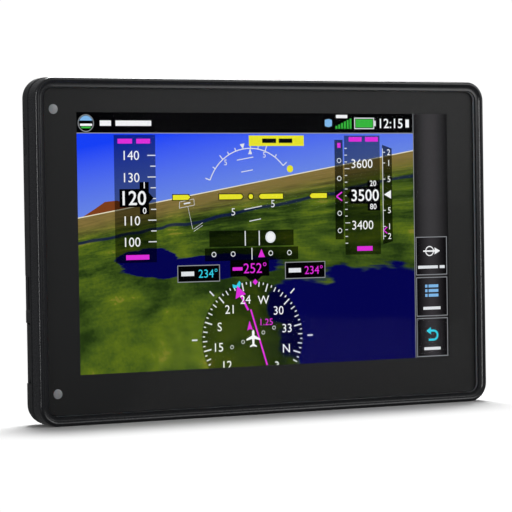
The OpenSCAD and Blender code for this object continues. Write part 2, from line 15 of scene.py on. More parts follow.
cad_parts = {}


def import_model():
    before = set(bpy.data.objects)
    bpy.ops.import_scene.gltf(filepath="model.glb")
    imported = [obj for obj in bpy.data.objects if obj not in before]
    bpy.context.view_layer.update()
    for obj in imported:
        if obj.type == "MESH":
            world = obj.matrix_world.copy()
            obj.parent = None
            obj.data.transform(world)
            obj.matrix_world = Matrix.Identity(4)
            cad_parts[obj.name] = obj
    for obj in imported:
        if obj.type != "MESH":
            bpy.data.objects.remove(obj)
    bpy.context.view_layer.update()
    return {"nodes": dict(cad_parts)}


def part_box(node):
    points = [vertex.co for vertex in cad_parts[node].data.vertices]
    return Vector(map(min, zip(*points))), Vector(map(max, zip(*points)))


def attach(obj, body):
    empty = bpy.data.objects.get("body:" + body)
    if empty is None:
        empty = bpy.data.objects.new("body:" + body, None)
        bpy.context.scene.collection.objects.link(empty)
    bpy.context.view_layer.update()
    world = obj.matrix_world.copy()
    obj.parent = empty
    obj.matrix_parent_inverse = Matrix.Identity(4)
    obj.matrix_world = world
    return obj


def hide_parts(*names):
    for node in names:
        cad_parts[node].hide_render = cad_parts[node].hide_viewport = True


LOG = logging.getLogger("navigator")
MM = 0.001
RIM = -11.75  # Y of the front rim
BOX_FACES = ((0, 2, 3, 1), (4, 5, 7, 6), (0, 4, 6, 2), (1, 3, 7, 5), (0, 1, 5, 4), (2, 6, 7, 3))

Tree = bpy.types.NodeTree
Socket = bpy.types.NodeSocket
Colour = tuple[float, float, float, float]
Spot = tuple[float, float]
Face = tuple[int, ...]


# ---------------------------------------------------------------- small helpers


def linear(hex_colour: str) -> Colour:
    """Turns an sRGB hex colour into linear light.

    Args:
        hex_colour: six hex digits, such as "1c1d1f".

    Returns:
        Red, green, blue and an alpha of one.
    """
    channels = [int(hex_colour[i : i + 2], 16) / 255 for i in (0, 2, 4)]
    curved = [c / 12.92 if c <= 0.04045 else ((c + 0.055) / 1.055) ** 2.4 for c in channels]
    return (*curved, 1.0)


def add_node(
    tree: Tree,
    kind: str,
    settings: dict[str | int, object] | None = None,
    links: dict[str | int, Socket] | None = None,
) -> bpy.types.Node:
    """Adds a shader node, sets it up and wires its inputs.

    Args:
        tree: the node tree that takes the node.
        kind: Blender's name for the node's type.
        settings: values for its properties, or for its inputs where no property has that name.
        links: input names or numbers, and the output that feeds each of them.

    Returns:
        The new node.
    """
    node = tree.nodes.new(kind)
    for name, value in (settings or {}).items():
        if isinstance(name, str) and hasattr(node, name):
            setattr(node, name, value)
        else:
            node.inputs[name].default_value = value
    for name, source in (links or {}).items():
        tree.links.new(source, node.inputs[name])
    return node


def empty_material(name: str) -> tuple[bpy.types.Material, Tree, bpy.types.Node]:
    """Makes a material with nothing in it but its output.

    Args:
        name: the material's name.

    Returns:
        The material, its node tree and the output node.
    """
    material = bpy.data.materials.new(name)
    material.use_nodes = True
    tree = material.node_tree
    tree.nodes.clear()
    output = tree.nodes.new("ShaderNodeOutputMaterial")
    return material, tree, output


def object_point(tree: Tree) -> Socket:
    """Gives the surface point in the object's own metres, which is what every pattern is drawn in."""
    return add_node(tree, "ShaderNodeTexCoord").outputs["Object"]


def per_metre(feature_mm: float) -> float:
    """Turns the real size of a pattern's feature into a texture scale."""
    return 1 / (feature_mm * MM)


def noise(tree: Tree, feature_mm: float, detail: float) -> Socket:
    """Gives a soft noise over the object whose features have a real size."""
    settings = {"Scale": per_metre(feature_mm), "Detail": detail}
    return add_node(tree, "ShaderNodeTexNoise", settings, {"Vector": object_point(tree)}).outputs["Fac"]


def compute(tree: Tree, operation: str, *terms: Socket | float) -> Socket:
    """Does one sum in the shader.

    Args:
        tree: the material's node tree.
        operation: Blender's name for the sum.
        terms: its numbers and sockets, in order.

    Returns:
        The result.
    """
    numbers = {i: term for i, term in enumerate(terms) if isinstance(term, (int, float))}
    sockets = {i: term for i, term in enumerate(terms) if i not in numbers}
    return add_node(tree, "ShaderNodeMath", {"operation": operation, **numbers}, sockets).outputs[0]


def remap(
    tree: Tree,
    value: Socket,
    start: float,
    end: float,
    low: float = 0.0,
    high: float = 1.0,
    smooth: bool = False,
) -> Socket:
    """Maps one range of a value to another, and holds it at the ends.

    Args:
        tree: the material's node tree.
        value: what is mapped.
        start: the value that gives the low result.
        end: the value that gives the high result.
        low: result at the start.
        high: result at the end.
        smooth: eases in and out.

    Returns:
        The mapped value.
    """
    settings = {"interpolation_type": "SMOOTHSTEP" if smooth else "LINEAR"}
    settings |= {"From Min": start, "From Max": end, "To Min": low, "To Max": high}
    return add_node(tree, "ShaderNodeMapRange", settings, {"Value": value}).outputs["Result"]


def mix_colours(tree: Tree, share: Socket, low: Socket | Colour, high: Socket | Colour) -> Socket:
    """Mixes two colours.

    Args:
        tree: the material's node tree.
        share: how much of the second colour there is.
        low: the first colour.
        high: the second colour.

    Returns:
        The mixed colour.
    """
    node = add_node(tree, "ShaderNodeMix", {"data_type": "RGBA"}, {0: share})
    for number, colour in ((6, low), (7, high)):
        if isinstance(colour, tuple):
            node.inputs[number].default_value = colour
        else:
            tree.links.new(colour, node.inputs[number])
    return node.outputs[2]


def shades(tree: Tree, share: Socket, colour: str, dark: float, light: float) -> Socket:
    """Runs between a darker and a lighter shade of one colour."""
    ends = [(*(min(1.0, c * level) for c in linear(colour)[:3]), 1.0) for level in (dark, light)]
    return mix_colours(tree, share, *ends)


def bump(tree: Tree, height: Socket, strength: float, depth_mm: float) -> Socket:
    """Turns a pattern's height into a normal."""
    settings = {"Strength": strength, "Distance": depth_mm * MM}
    return add_node(tree, "ShaderNodeBump", settings, {"Height": height}).outputs["Normal"]


def polar(centre: Spot, radius: float, degrees: float) -> Spot:
    """Gives the point at a distance from a centre, in a direction anticlockwise from the right."""
    angle = math.radians(degrees)
    return (centre[0] + radius * math.cos(angle), centre[1] + radius * math.sin(angle))


# ---------------------------------------------------------------- finishes


@dataclass(frozen=True)
class MouldedPlastic:
    """ABS and polycarbonate blend out of a spark-eroded mould: a fine leathery grain that dulls the gloss."""

    name: str
    colour: str
    roughness: float = 0.42
    grain_mm: float = 0.35
    grain_height_mm: float = 0.012
    ior: float = 1.5
    mottle_mm: float = 14
    specular: float = 0.5

    def build(self) -> bpy.types.Material:
        """Builds the plastic: faint mottling, a grain in the bump and a slightly uneven gloss."""
        material, tree, output = empty_material(self.name)
        grain = noise(tree, self.grain_mm, 3.0)
        shader = add_node(
            tree,
            "ShaderNodeBsdfPrincipled",
            {"IOR": self.ior, "Specular IOR Level": self.specular},
            {
                "Base Color": shades(tree, noise(tree, self.mottle_mm, 2.0), self.colour, 0.88, 1.12),
                "Roughness": remap(tree, grain, 0, 1, self.roughness - 0.05, self.roughness + 0.07),
                "Normal": bump(tree, grain, 0.35, self.grain_height_mm),
            },
        )
        tree.links.new(shader.outputs[0], output.inputs["Surface"])
        return material


@dataclass(frozen=True)
class CoatedGlass:
    """Chemically strengthened glass with an anti-reflection coat: clear, with a dim cool sheen."""

    name: str
    sheen: float
    roughness: float = 0.04
    wave_mm: float = 60

    def build(self) -> bpy.types.Material:
        """Builds the glass as a clear pass with a weak mirror that grows at grazing angles."""
        material, tree, output = empty_material(self.name)
        spread = remap(tree, noise(tree, self.wave_mm, 1.0), 0, 1, self.roughness, self.roughness + 0.02)
        fresnel = add_node(tree, "ShaderNodeFresnel", {"IOR": 1.5})
        weight = compute(tree, "MULTIPLY", fresnel.outputs["Fac"], self.sheen)
        clear = add_node(tree, "ShaderNodeBsdfTransparent", {"Color": (1, 1, 1, 1)})
        mirror = add_node(tree, "ShaderNodeBsdfAnisotropic", {}, {"Roughness": spread})
        sides = {0: weight, 1: clear.outputs[0], 2: mirror.outputs[0]}
        mixed = add_node(tree, "ShaderNodeMixShader", {}, sides)
        tree.links.new(mixed.outputs[0], output.inputs["Surface"])
        return material


@dataclass(frozen=True)
class PrintedInk:
    """Black screen-printed ink on the back of the glass: an even satin black with a faint screen weave."""

    name: str
    colour: str
    roughness: float = 0.3
    weave_mm: float = 0.5

    def build(self) -> bpy.types.Material:
        """Builds the ink with the weave of its printing screen in the gloss."""
        material, tree, output = empty_material(self.name)
        gloss = remap(tree, noise(tree, self.weave_mm, 1.0), 0, 1, self.roughness, self.roughness + 0.08)
        shader = add_node(
            tree,
            "ShaderNodeBsdfPrincipled",
            {"Base Color": linear(self.colour), "IOR": 1.5, "Specular IOR Level": 0.4},
            {"Roughness": gloss},
        )
        tree.links.new(shader.outputs[0], output.inputs["Surface"])
        return material


@dataclass(frozen=True)
class WorkedMetal:
    """Metal as the machine left it: cast, pressed, turned or plated, with fine marks of that work."""

    name: str
    colour: str
    roughness: float
    mark_mm: tuple[float, float, float] = (0.4, 0.4, 0.4)
    mark_height_mm: float = 0.004

    def build(self) -> bpy.types.Material:
        """Builds the metal with its working marks in the gloss and the bump."""
        material, tree, output = empty_material(self.name)
        scale = {"Scale": tuple(per_metre(size) for size in self.mark_mm)}
        stretch = add_node(tree, "ShaderNodeMapping", scale, {"Vector": object_point(tree)})
        settings = {"Scale": 1.0, "Detail": 3.0}
        point = {"Vector": stretch.outputs["Vector"]}
        marks = add_node(tree, "ShaderNodeTexNoise", settings, point).outputs["Fac"]
        shader = add_node(
            tree,
            "ShaderNodeBsdfPrincipled",
            {"Base Color": linear(self.colour), "Metallic": 1.0},
            {
                "Roughness": remap(tree, marks, 0, 1, self.roughness * 0.75, self.roughness * 1.3),
                "Normal": bump(tree, marks, 0.4, self.mark_height_mm),
            },
        )
        tree.links.new(shader.outputs[0], output.inputs["Surface"])
        return material


@dataclass(frozen=True)
class BackLitInk:
    """One colour of the lit picture: the panel's own light, a little uneven from dot to dot."""

    name: str
    colour: str
    dot_mm: float = 0.6

    def build(self) -> bpy.types.Material:
        """Builds the lit colour with the panel's fine dot structure in its brightness."""
        material, tree, output = empty_material(self.name)
        level = remap(tree, noise(tree, self.dot_mm, 0.0), 0, 1, 0.94, 1.04)
        glow = add_node(tree, "ShaderNodeEmission", {"Color": linear(self.colour)}, {"Strength": level})
        tree.links.new(glow.outputs[0], output.inputs["Surface"])
        return material


@dataclass(frozen=True)
class ShadedInk:
    """A lit field of the picture that is brighter along its middle, like a rounded metal key."""

    name: str
    edge: str
    middle: str
    per_mm: float
    u_middle: float = 69.0

    def build(self) -> bpy.types.Material:
        """Builds the field with a soft light stripe that runs up its middle."""
        material, tree, output = empty_material(self.name)
        across = add_node(tree, "ShaderNodeSeparateXYZ", {}, {0: object_point(tree)}).outputs["X"]
        away = compute(tree, "ABSOLUTE", compute(tree, "SUBTRACT", across, self.u_middle * MM))
        fade = remap(tree, away, 0, MM / self.per_mm, smooth=True)
        tint = mix_colours(tree, fade, linear(self.middle), linear(self.edge))
        glow = add_node(tree, "ShaderNodeEmission", {"Strength": 1.0}, {"Color": tint})
        tree.links.new(glow.outputs[0], output.inputs["Surface"])
        return material


@dataclass(frozen=True)
class SmokedPanel:
    """A see-through dark panel of the picture, which dims the landscape behind a scale."""

    name: str
    tint: str
    dot_mm: float = 0.8

    def build(self) -> bpy.types.Material:
        """Builds the panel as a tinted pass with a faint dot structure."""
        material, tree, output = empty_material(self.name)
        tint = shades(tree, noise(tree, self.dot_mm, 0.0), self.tint, 0.95, 1.05)
        clear = add_node(tree, "ShaderNodeBsdfTransparent", {}, {"Color": tint})
        tree.links.new(clear.outputs[0], output.inputs["Surface"])
        return material


@dataclass(frozen=True)
class Landscape:
    """The picture's background: a blue sky over tilted, patchy green country with lakes."""

    name: str
    left: float
    bottom: float
    horizon: float = 54.6
    tilt_deg: float = 9.6
    sky_high: str = "1640f6"
    sky_low: str = "6886e3"
    greens: tuple[str, ...] = ("14200c", "263a12", "40561a", "5e711a", "7a7a2a")
    far_brown: str = "86703f"
    river: str = "0c1440"
    lake: str = "04044e"
    sky_depth: float = 24
    brown_depth: float = 9
    river_below: float = 11.2
    patch_stretch: tuple[float, float, float] = (0.009, 0.8, 1)
    green_steps: tuple[float, ...] = (0.62, 0.76, 0.86, 0.98, 1.0)
    # Lakes as (u, v, half width, half height) in millimetres on the picture
    lakes: tuple[tuple[float, float, float, float], ...] = (
        (118, 10, 37, 25),
        (48, 36.5, 30, 4.0),
        (90, 22, 16, 9),
        (27, 40, 13, 3.6),
    )

    def ellipse(self, tree: Tree, point: Socket, shape: tuple[float, float, float, float]) -> Socket:
        """Measures how far a point is from an ellipse's centre, with one at its edge.

        Args:
            tree: the material's node tree.
            point: the picture's millimetre coordinates.
            shape: centre u, centre v, half width and half height.

        Returns:
            The scaled distance.
        """
        u, v, half_w, half_h = shape
        settings = {"Location": (-u / half_w, 0, -v / half_h), "Scale": (1 / half_w, 0, 1 / half_h)}
        moved = add_node(tree, "ShaderNodeMapping", settings, {"Vector": point}).outputs["Vector"]
        return add_node(tree, "ShaderNodeVectorMath", {"operation": "LENGTH"}, {0: moved}).outputs["Value"]

    def pattern(self, tree: Tree, point: Socket, scale: float, detail: float, **more: float) -> Socket:
        """Gives a noise over the picture."""
        settings = {"Scale": scale, "Detail": detail, **more}
        return add_node(tree, "ShaderNodeTexNoise", settings, {"Vector": point}).outputs["Fac"]

    def green_land(self, tree: Tree, tone: Socket) -> Socket:
        """Colours the fields from dark to light green.

        Args:
            tree: the material's node tree.
            tone: how light a field is.

        Returns:
            The colour.
        """
        ramp = add_node(tree, "ShaderNodeValToRGB", {}, {0: tone})
        stops = ramp.color_ramp.elements
        for stop, end in zip(stops, (0, -1)):
            stop.position = self.green_steps[end]
            stop.color = linear(self.greens[end])
        for place, green in zip(self.green_steps[1:-1], self.greens[1:-1]):
            stops.new(place).color = linear(green)
        return ramp.outputs["Color"]

    def build(self) -> bpy.types.Material:
        """Builds the sky, the country in rough perspective, the lakes, the river and the far brown hills."""
        material, tree, output = empty_material(self.name)
        to_mm = {"Location": (-self.left, 0, -self.bottom), "Scale": (1 / MM, 1 / MM, 1 / MM)}
        point = add_node(tree, "ShaderNodeMapping", to_mm, {"Vector": object_point(tree)}).outputs["Vector"]
        turn = {
            "vector_type": "TEXTURE",
            "Location": (0, 0, self.horizon),
            "Rotation": (0, -math.radians(self.tilt_deg), 0),
        }
        level = add_node(tree, "ShaderNodeMapping", turn, {"Vector": point}).outputs["Vector"]
        split = add_node(tree, "ShaderNodeSeparateXYZ", {}, {0: level})
        along, height = split.outputs["X"], split.outputs["Z"]
        rise = remap(tree, height, 0, self.sky_depth)
        sky = mix_colours(tree, rise, linear(self.sky_low), linear(self.sky_high))

        below = compute(tree, "MULTIPLY", height, -1.0)
        reach = compute(tree, "DIVIDE", 60.0, compute(tree, "ADD", below, 3.0))
        across = compute(tree, "MULTIPLY", along, reach)
        ground = add_node(tree, "ShaderNodeCombineXYZ", {}, {"X": across, "Y": reach}).outputs["Vector"]
        spread = add_node(tree, "ShaderNodeMapping", {"Scale": self.patch_stretch}, {"Vector": ground})
        patches = self.pattern(tree, spread.outputs["Vector"], 1.0, 5.0, Roughness=0.7)
        grit = self.pattern(tree, point, 0.9, 4.0, Roughness=0.7)
        broad = self.pattern(tree, point, 0.05, 2.0, Distortion=0.6)
        fine = compute(tree, "MULTIPLY_ADD", grit, 0.16, patches)
        green = self.green_land(tree, compute(tree, "MULTIPLY_ADD", broad, 0.55, fine))
        far = remap(tree, below, self.brown_depth, 1.0, smooth=True)
        brown = remap(tree, compute(tree, "MULTIPLY", far, patches), 0, 1 / 1.7)
        land = mix_colours(tree, brown, green, linear(self.far_brown))

        shore = self.ellipse(tree, point, self.lakes[0])
        for shape in self.lakes[1:]:
            shore = compute(tree, "SMOOTH_MIN", shore, self.ellipse(tree, point, shape), 0.2)
        ragged = compute(tree, "MULTIPLY_ADD", broad, 0.7, shore)
        water = remap(tree, compute(tree, "MULTIPLY_ADD", patches, 1.5, ragged), 2.12, 2.0, smooth=True)
        country = mix_colours(tree, water, land, linear(self.lake))
        bank = compute(tree, "SUBTRACT", compute(tree, "MULTIPLY_ADD", broad, 4.0, below), self.river_below)
        stream = remap(tree, compute(tree, "ABSOLUTE", bank), 0.75, 0.3, 0.0, 0.85, smooth=True)
        watered = mix_colours(tree, stream, country, linear(self.river))
        seen = mix_colours(tree, compute(tree, "GREATER_THAN", height, 0.0), watered, sky)
        glow = add_node(tree, "ShaderNodeEmission", {"Strength": 1.0}, {"Color": seen})
        tree.links.new(glow.outputs[0], output.inputs["Surface"])
        return material


# ---------------------------------------------------------------- mesh helpers


def mesh_object(name: str, points: list[Vector], faces: list[Face]) -> bpy.types.Object:
    """Makes an object from points in millimetres and faces.

    Args:
        name: the piece's name.
        points: corner points in millimetres.
        faces: the faces as point numbers.

    Returns:
        The object, linked to the scene.
    """
    mesh = bpy.data.meshes.new(name)
    mesh.from_pydata([tuple(c * MM for c in p) for p in points], [], faces)
    mesh.validate()
    obj = bpy.data.objects.new(name, mesh)
    bpy.context.scene.collection.objects.link(obj)
    return obj


def face_outwards(obj: bpy.types.Object) -> None:
    """Joins a closed mesh's equal points and turns its faces outwards."""
    work = bmesh.new()
    work.from_mesh(obj.data)
    bmesh.ops.remove_doubles(work, verts=work.verts, dist=0.001 * MM)
    bmesh.ops.recalc_face_normals(work, faces=work.faces)
    work.to_mesh(obj.data)
    work.free()


def add_block(points: list[Vector], faces: list[Face], xs: Spot, ys: Spot, zs: Spot) -> None:
    """Adds a rectangular block, given by its two ends along each axis, to a mesh's points and faces."""
    start = len(points)
    points += [Vector((x, y, z)) for x in xs for y in ys for z in zs]
    faces += [tuple(start + corner for corner in face) for face in BOX_FACES]


def filled_curve(curve: bpy.types.Curve) -> tuple[list[Vector], list[Face]]:
    """Fills a flat curve or a text, and removes it.

    Args:
        curve: the curve.

    Returns:
        The filled shape's points, in the curve's units, and its faces.
    """
    holder = bpy.data.objects.new("outline", curve)
    bpy.context.scene.collection.objects.link(holder)
    graph = bpy.context.evaluated_depsgraph_get()
    mesh = bpy.data.meshes.new_from_object(holder.evaluated_get(graph))
    points = [vertex.co.copy() for vertex in mesh.vertices]
    faces = [tuple(polygon.vertices) for polygon in mesh.polygons]
    bpy.data.objects.remove(holder)
    bpy.data.curves.remove(curve)
    bpy.data.meshes.remove(mesh)
    return points, faces


def soften(obj: bpy.types.Object, edge_mm: float, angle_deg: float) -> None:
    """Rounds a piece's sharp edges a little and smooths what lies between them.

    Args:
        obj: the piece.
        edge_mm: width of the rounding, or zero for none.
        angle_deg: edges flatter than this stay as they are.
    """
    for polygon in obj.data.polygons:
        polygon.use_smooth = True
    weld = obj.modifiers.new("weld", "WELD")
    weld.merge_threshold = 0.002 * MM
    if edge_mm > 0:
        bevel = obj.modifiers.new("edge", "BEVEL")
        bevel.width = edge_mm * MM
        bevel.segments = 2
        bevel.limit_method = "ANGLE"
        bevel.angle_limit = math.radians(angle_deg)
        bevel.use_clamp_overlap = True
        bevel.harden_normals = False
    split = obj.modifiers.new("creases", "EDGE_SPLIT")
    split.split_angle = math.radians(angle_deg)
    split.use_edge_sharp = False


def rounded_loop(width: float, height: float, radius: float, steps: int = 16) -> list[Spot]:
    """Walks round a rounded rectangle that is centred on the origin.

    Args:
        width: overall width.
        height: overall height.
        radius: corner radius.
        steps: steps per corner.

    Returns:
        Its points as (x, z).
    """
    loop = []
    for corner, (side_x, side_z) in enumerate(((1, 1), (-1, 1), (-1, -1), (1, -1))):
        centre = (side_x * (width / 2 - radius), side_z * (height / 2 - radius))
        loop += [polar(centre, radius, 90 * (corner + i / steps)) for i in range(steps + 1)]
    return loop


def pierced_plate(
    name: str, outline: list[Spot], holes: list[list[Spot]], near: float, far: float
) -> bpy.types.Object:
    """Makes a flat plate that stands upright and has holes through it.

    Args:
        name: the piece's name.
        outline: its outer corners as (x, z).
        holes: the corners of each hole.
        near: Y of its front face.
        far: Y of its back face.

    Returns:
        The plate as a mesh object.
    """
    curve = bpy.data.curves.new(name, "CURVE")
    curve.dimensions = "2D"
    curve.fill_mode = "BOTH"
    curve.extrude = (far - near) / 2
    for loop in (outline, *holes):
        spline = curve.splines.new("POLY")
        spline.points.add(len(loop) - 1)
        for point, (x, z) in zip(spline.points, loop):
            point.co = (x, z, 0, 1)
        spline.use_cyclic_u = True
    flat, faces = filled_curve(curve)
    plate = mesh_object(name, [Vector((p.x, (near + far) / 2 + p.z, p.y)) for p in flat], faces)
    face_outwards(plate)
    return plate


# ---------------------------------------------------------------- the picture's inks


@dataclass
class InkLayer:
    """Everything on the picture that has one colour and lies in one thin sheet."""

    name: str
    finish: BackLitInk | ShadedInk | SmokedPanel
    depth: float
    left: float
    bottom: float
    points: list[Vector] = field(default_factory=list)
    faces: list[Face] = field(default_factory=list)

    def polygon(self, corners: list[Spot]) -> None:
        """Adds a filled shape given by its (u, v) corners on the picture."""
        start = len(self.points)
        self.points += [Vector((self.left + u, RIM + self.depth, self.bottom + v)) for u, v in corners]
        self.faces.append(tuple(range(start, start + len(corners))))

    def box(self, u0: float, u1: float, v0: float, v1: float) -> None:
        """Adds a filled rectangle."""
        self.polygon([(u0, v0), (u1, v0), (u1, v1), (u0, v1)])

    def line(self, start: Spot, end: Spot, width: float) -> None:
        """Adds a straight stroke.

        Args:
            start: its first end.
            end: its other end.
            width: its width.
        """
        along = Vector((end[0] - start[0], end[1] - start[1])).normalized() * width / 2
        side = Vector((-along.y, along.x))
        self.polygon(
            [
                (start[0] + side.x, start[1] + side.y),
                (start[0] - side.x, start[1] - side.y),
                (end[0] - side.x, end[1] - side.y),
                (end[0] + side.x, end[1] + side.y),
            ]
        )

    def frame(self, u0: float, u1: float, v0: float, v1: float, width: float) -> None:
        """Adds a rectangle's outline, drawn inside its limits."""
        self.box(u0, u1, v0, v0 + width)
        self.box(u0, u1, v1 - width, v1)
        self.box(u0, u0 + width, v0 + width, v1 - width)
        self.box(u1 - width, u1, v0 + width, v1 - width)

    def disc(self, u: float, v: float, radius: float, steps: int = 24) -> None:
        """Adds a filled circle."""
        self.polygon([polar((u, v), radius, 360 * i / steps) for i in range(steps)])

    def arc(
        self, u: float, v: float, radius: float, width: float, start_deg: float = 0, end_deg: float = 360
    ) -> None:
        """Adds a curved stroke round a centre.

        Args:
            u: the centre, across.
            v: the centre, up.
            radius: radius of the stroke's middle.
            width: width of the stroke.
            start_deg: where it starts, anticlockwise from the right.
            end_deg: where it ends.
        """
        steps = max(6, int(abs(end_deg - start_deg) / 6))
        reach = end_deg - start_deg
        spots = [polar((u, v), radius, start_deg + reach * i / steps) for i in range(steps + 1)]
        for first, second in zip(spots, spots[1:]):
            self.line(first, second, width)

    def ticks(
        self, centre: Spot, inner: float, outer: float, degrees: list[float], width: float, floor: float = 0.4
    ) -> None:
        """Adds short strokes that point at a centre.

        Args:
            centre: the point that they stand round.
            inner: radius of their inner ends.
            outer: radius of their outer ends.
            degrees: their directions, anticlockwise from the right.
            width: their width.
            floor: strokes that reach below this height are left out.
        """
        for turn in degrees:
            first, second = polar(centre, inner, turn), polar(centre, outer, turn)
            if min(first[1], second[1]) > floor:
                self.line(first, second, width)

    def digits(self, text: str, u: float, v: float, height: float, weight: float = 0.02) -> None:
        """Adds upright figures in the built-in typeface, filled and centred on a point.

        Args:
            text: figures, or one compass letter.
            u: the middle, across.
            v: the middle, up.
            height: height of a figure.
            weight: how far the strokes are thickened, as a share of the typeface's size.
        """
        curve = bpy.data.curves.new("figures", "FONT")
        curve.body = text
        curve.offset = weight
        curve.resolution_u = 3
        spots, faces = filled_curve(curve)
        low = Vector((min(s.x for s in spots), min(s.y for s in spots)))
        high = Vector((max(s.x for s in spots), max(s.y for s in spots)))
        scale = height / (high.y - low.y)
        start = len(self.points)
        for spot in spots:
            across = u + (spot.x - (low.x + high.x) / 2) * scale
            up = v + (spot.y - (low.y + high.y) / 2) * scale
            self.points.append(Vector((self.left + across, RIM + self.depth, self.bottom + up)))
        self.faces += [tuple(start + corner for corner in face) for face in faces]

    def build(self, body: str, slot: str) -> bpy.types.Object:
        """Turns the layer into a piece that rides on a body.

        Args:
            body: the CAD body's name.
            slot: the record's material slot; not used.

        Returns:
            The piece.
        """
        piece = mesh_object(self.name, self.points, self.faces)
        piece.data.materials.append(self.finish.build())
        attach(piece, body)
        return piece


class Ink(Enum):
    """The picture's sheets: the finish, and how deep the sheet lies behind the front rim."""

    HILL = (BackLitInk("hill_brown", "7c3f1c"), 3.02)
    CREAM = (BackLitInk("horizon_cream", "e6e0c4"), 3.0)
    SCALE_SHADE = (SmokedPanel("scale_shade", "989a96"), 2.99)
    DEEP_SHADE = (SmokedPanel("deep_shade", "74776f"), 2.98)
    CARD_SHADE = (SmokedPanel("card_shade", "a9aba6"), 2.975)
    BLACK = (BackLitInk("picture_black", "020203"), 2.96)
    BUTTON = (ShadedInk("button_black", "0b0a0c", "343235", 0.15), 2.93)
    COLUMN = (ShadedInk("column_grey", "060607", "3a393b", 0.1), 2.94)
    OUTLINE = (BackLitInk("outline_grey", "8b8e92"), 2.91)
    WHITE = (BackLitInk("picture_white", "dfe2e6"), 2.87)
    GREEN = (BackLitInk("picture_green", "36b43c"), 2.86)
    CYAN = (BackLitInk("picture_cyan", "35cfe6"), 2.85)
    MAGENTA = (BackLitInk("picture_magenta", "dd2fd9"), 2.84)
    PALE_BLUE = (BackLitInk("icon_blue", "7fb6e6"), 2.83)
    READOUT = (BackLitInk("readout_black", "010102"), 2.81)
    YELLOW = (BackLitInk("picture_yellow", "e6e22c"), 2.79)
    SIGN = (BackLitInk("sign_black", "0a0a08"), 2.77)
    FIGURES = (BackLitInk("figure_white", "f2f3f5"), 2.75)


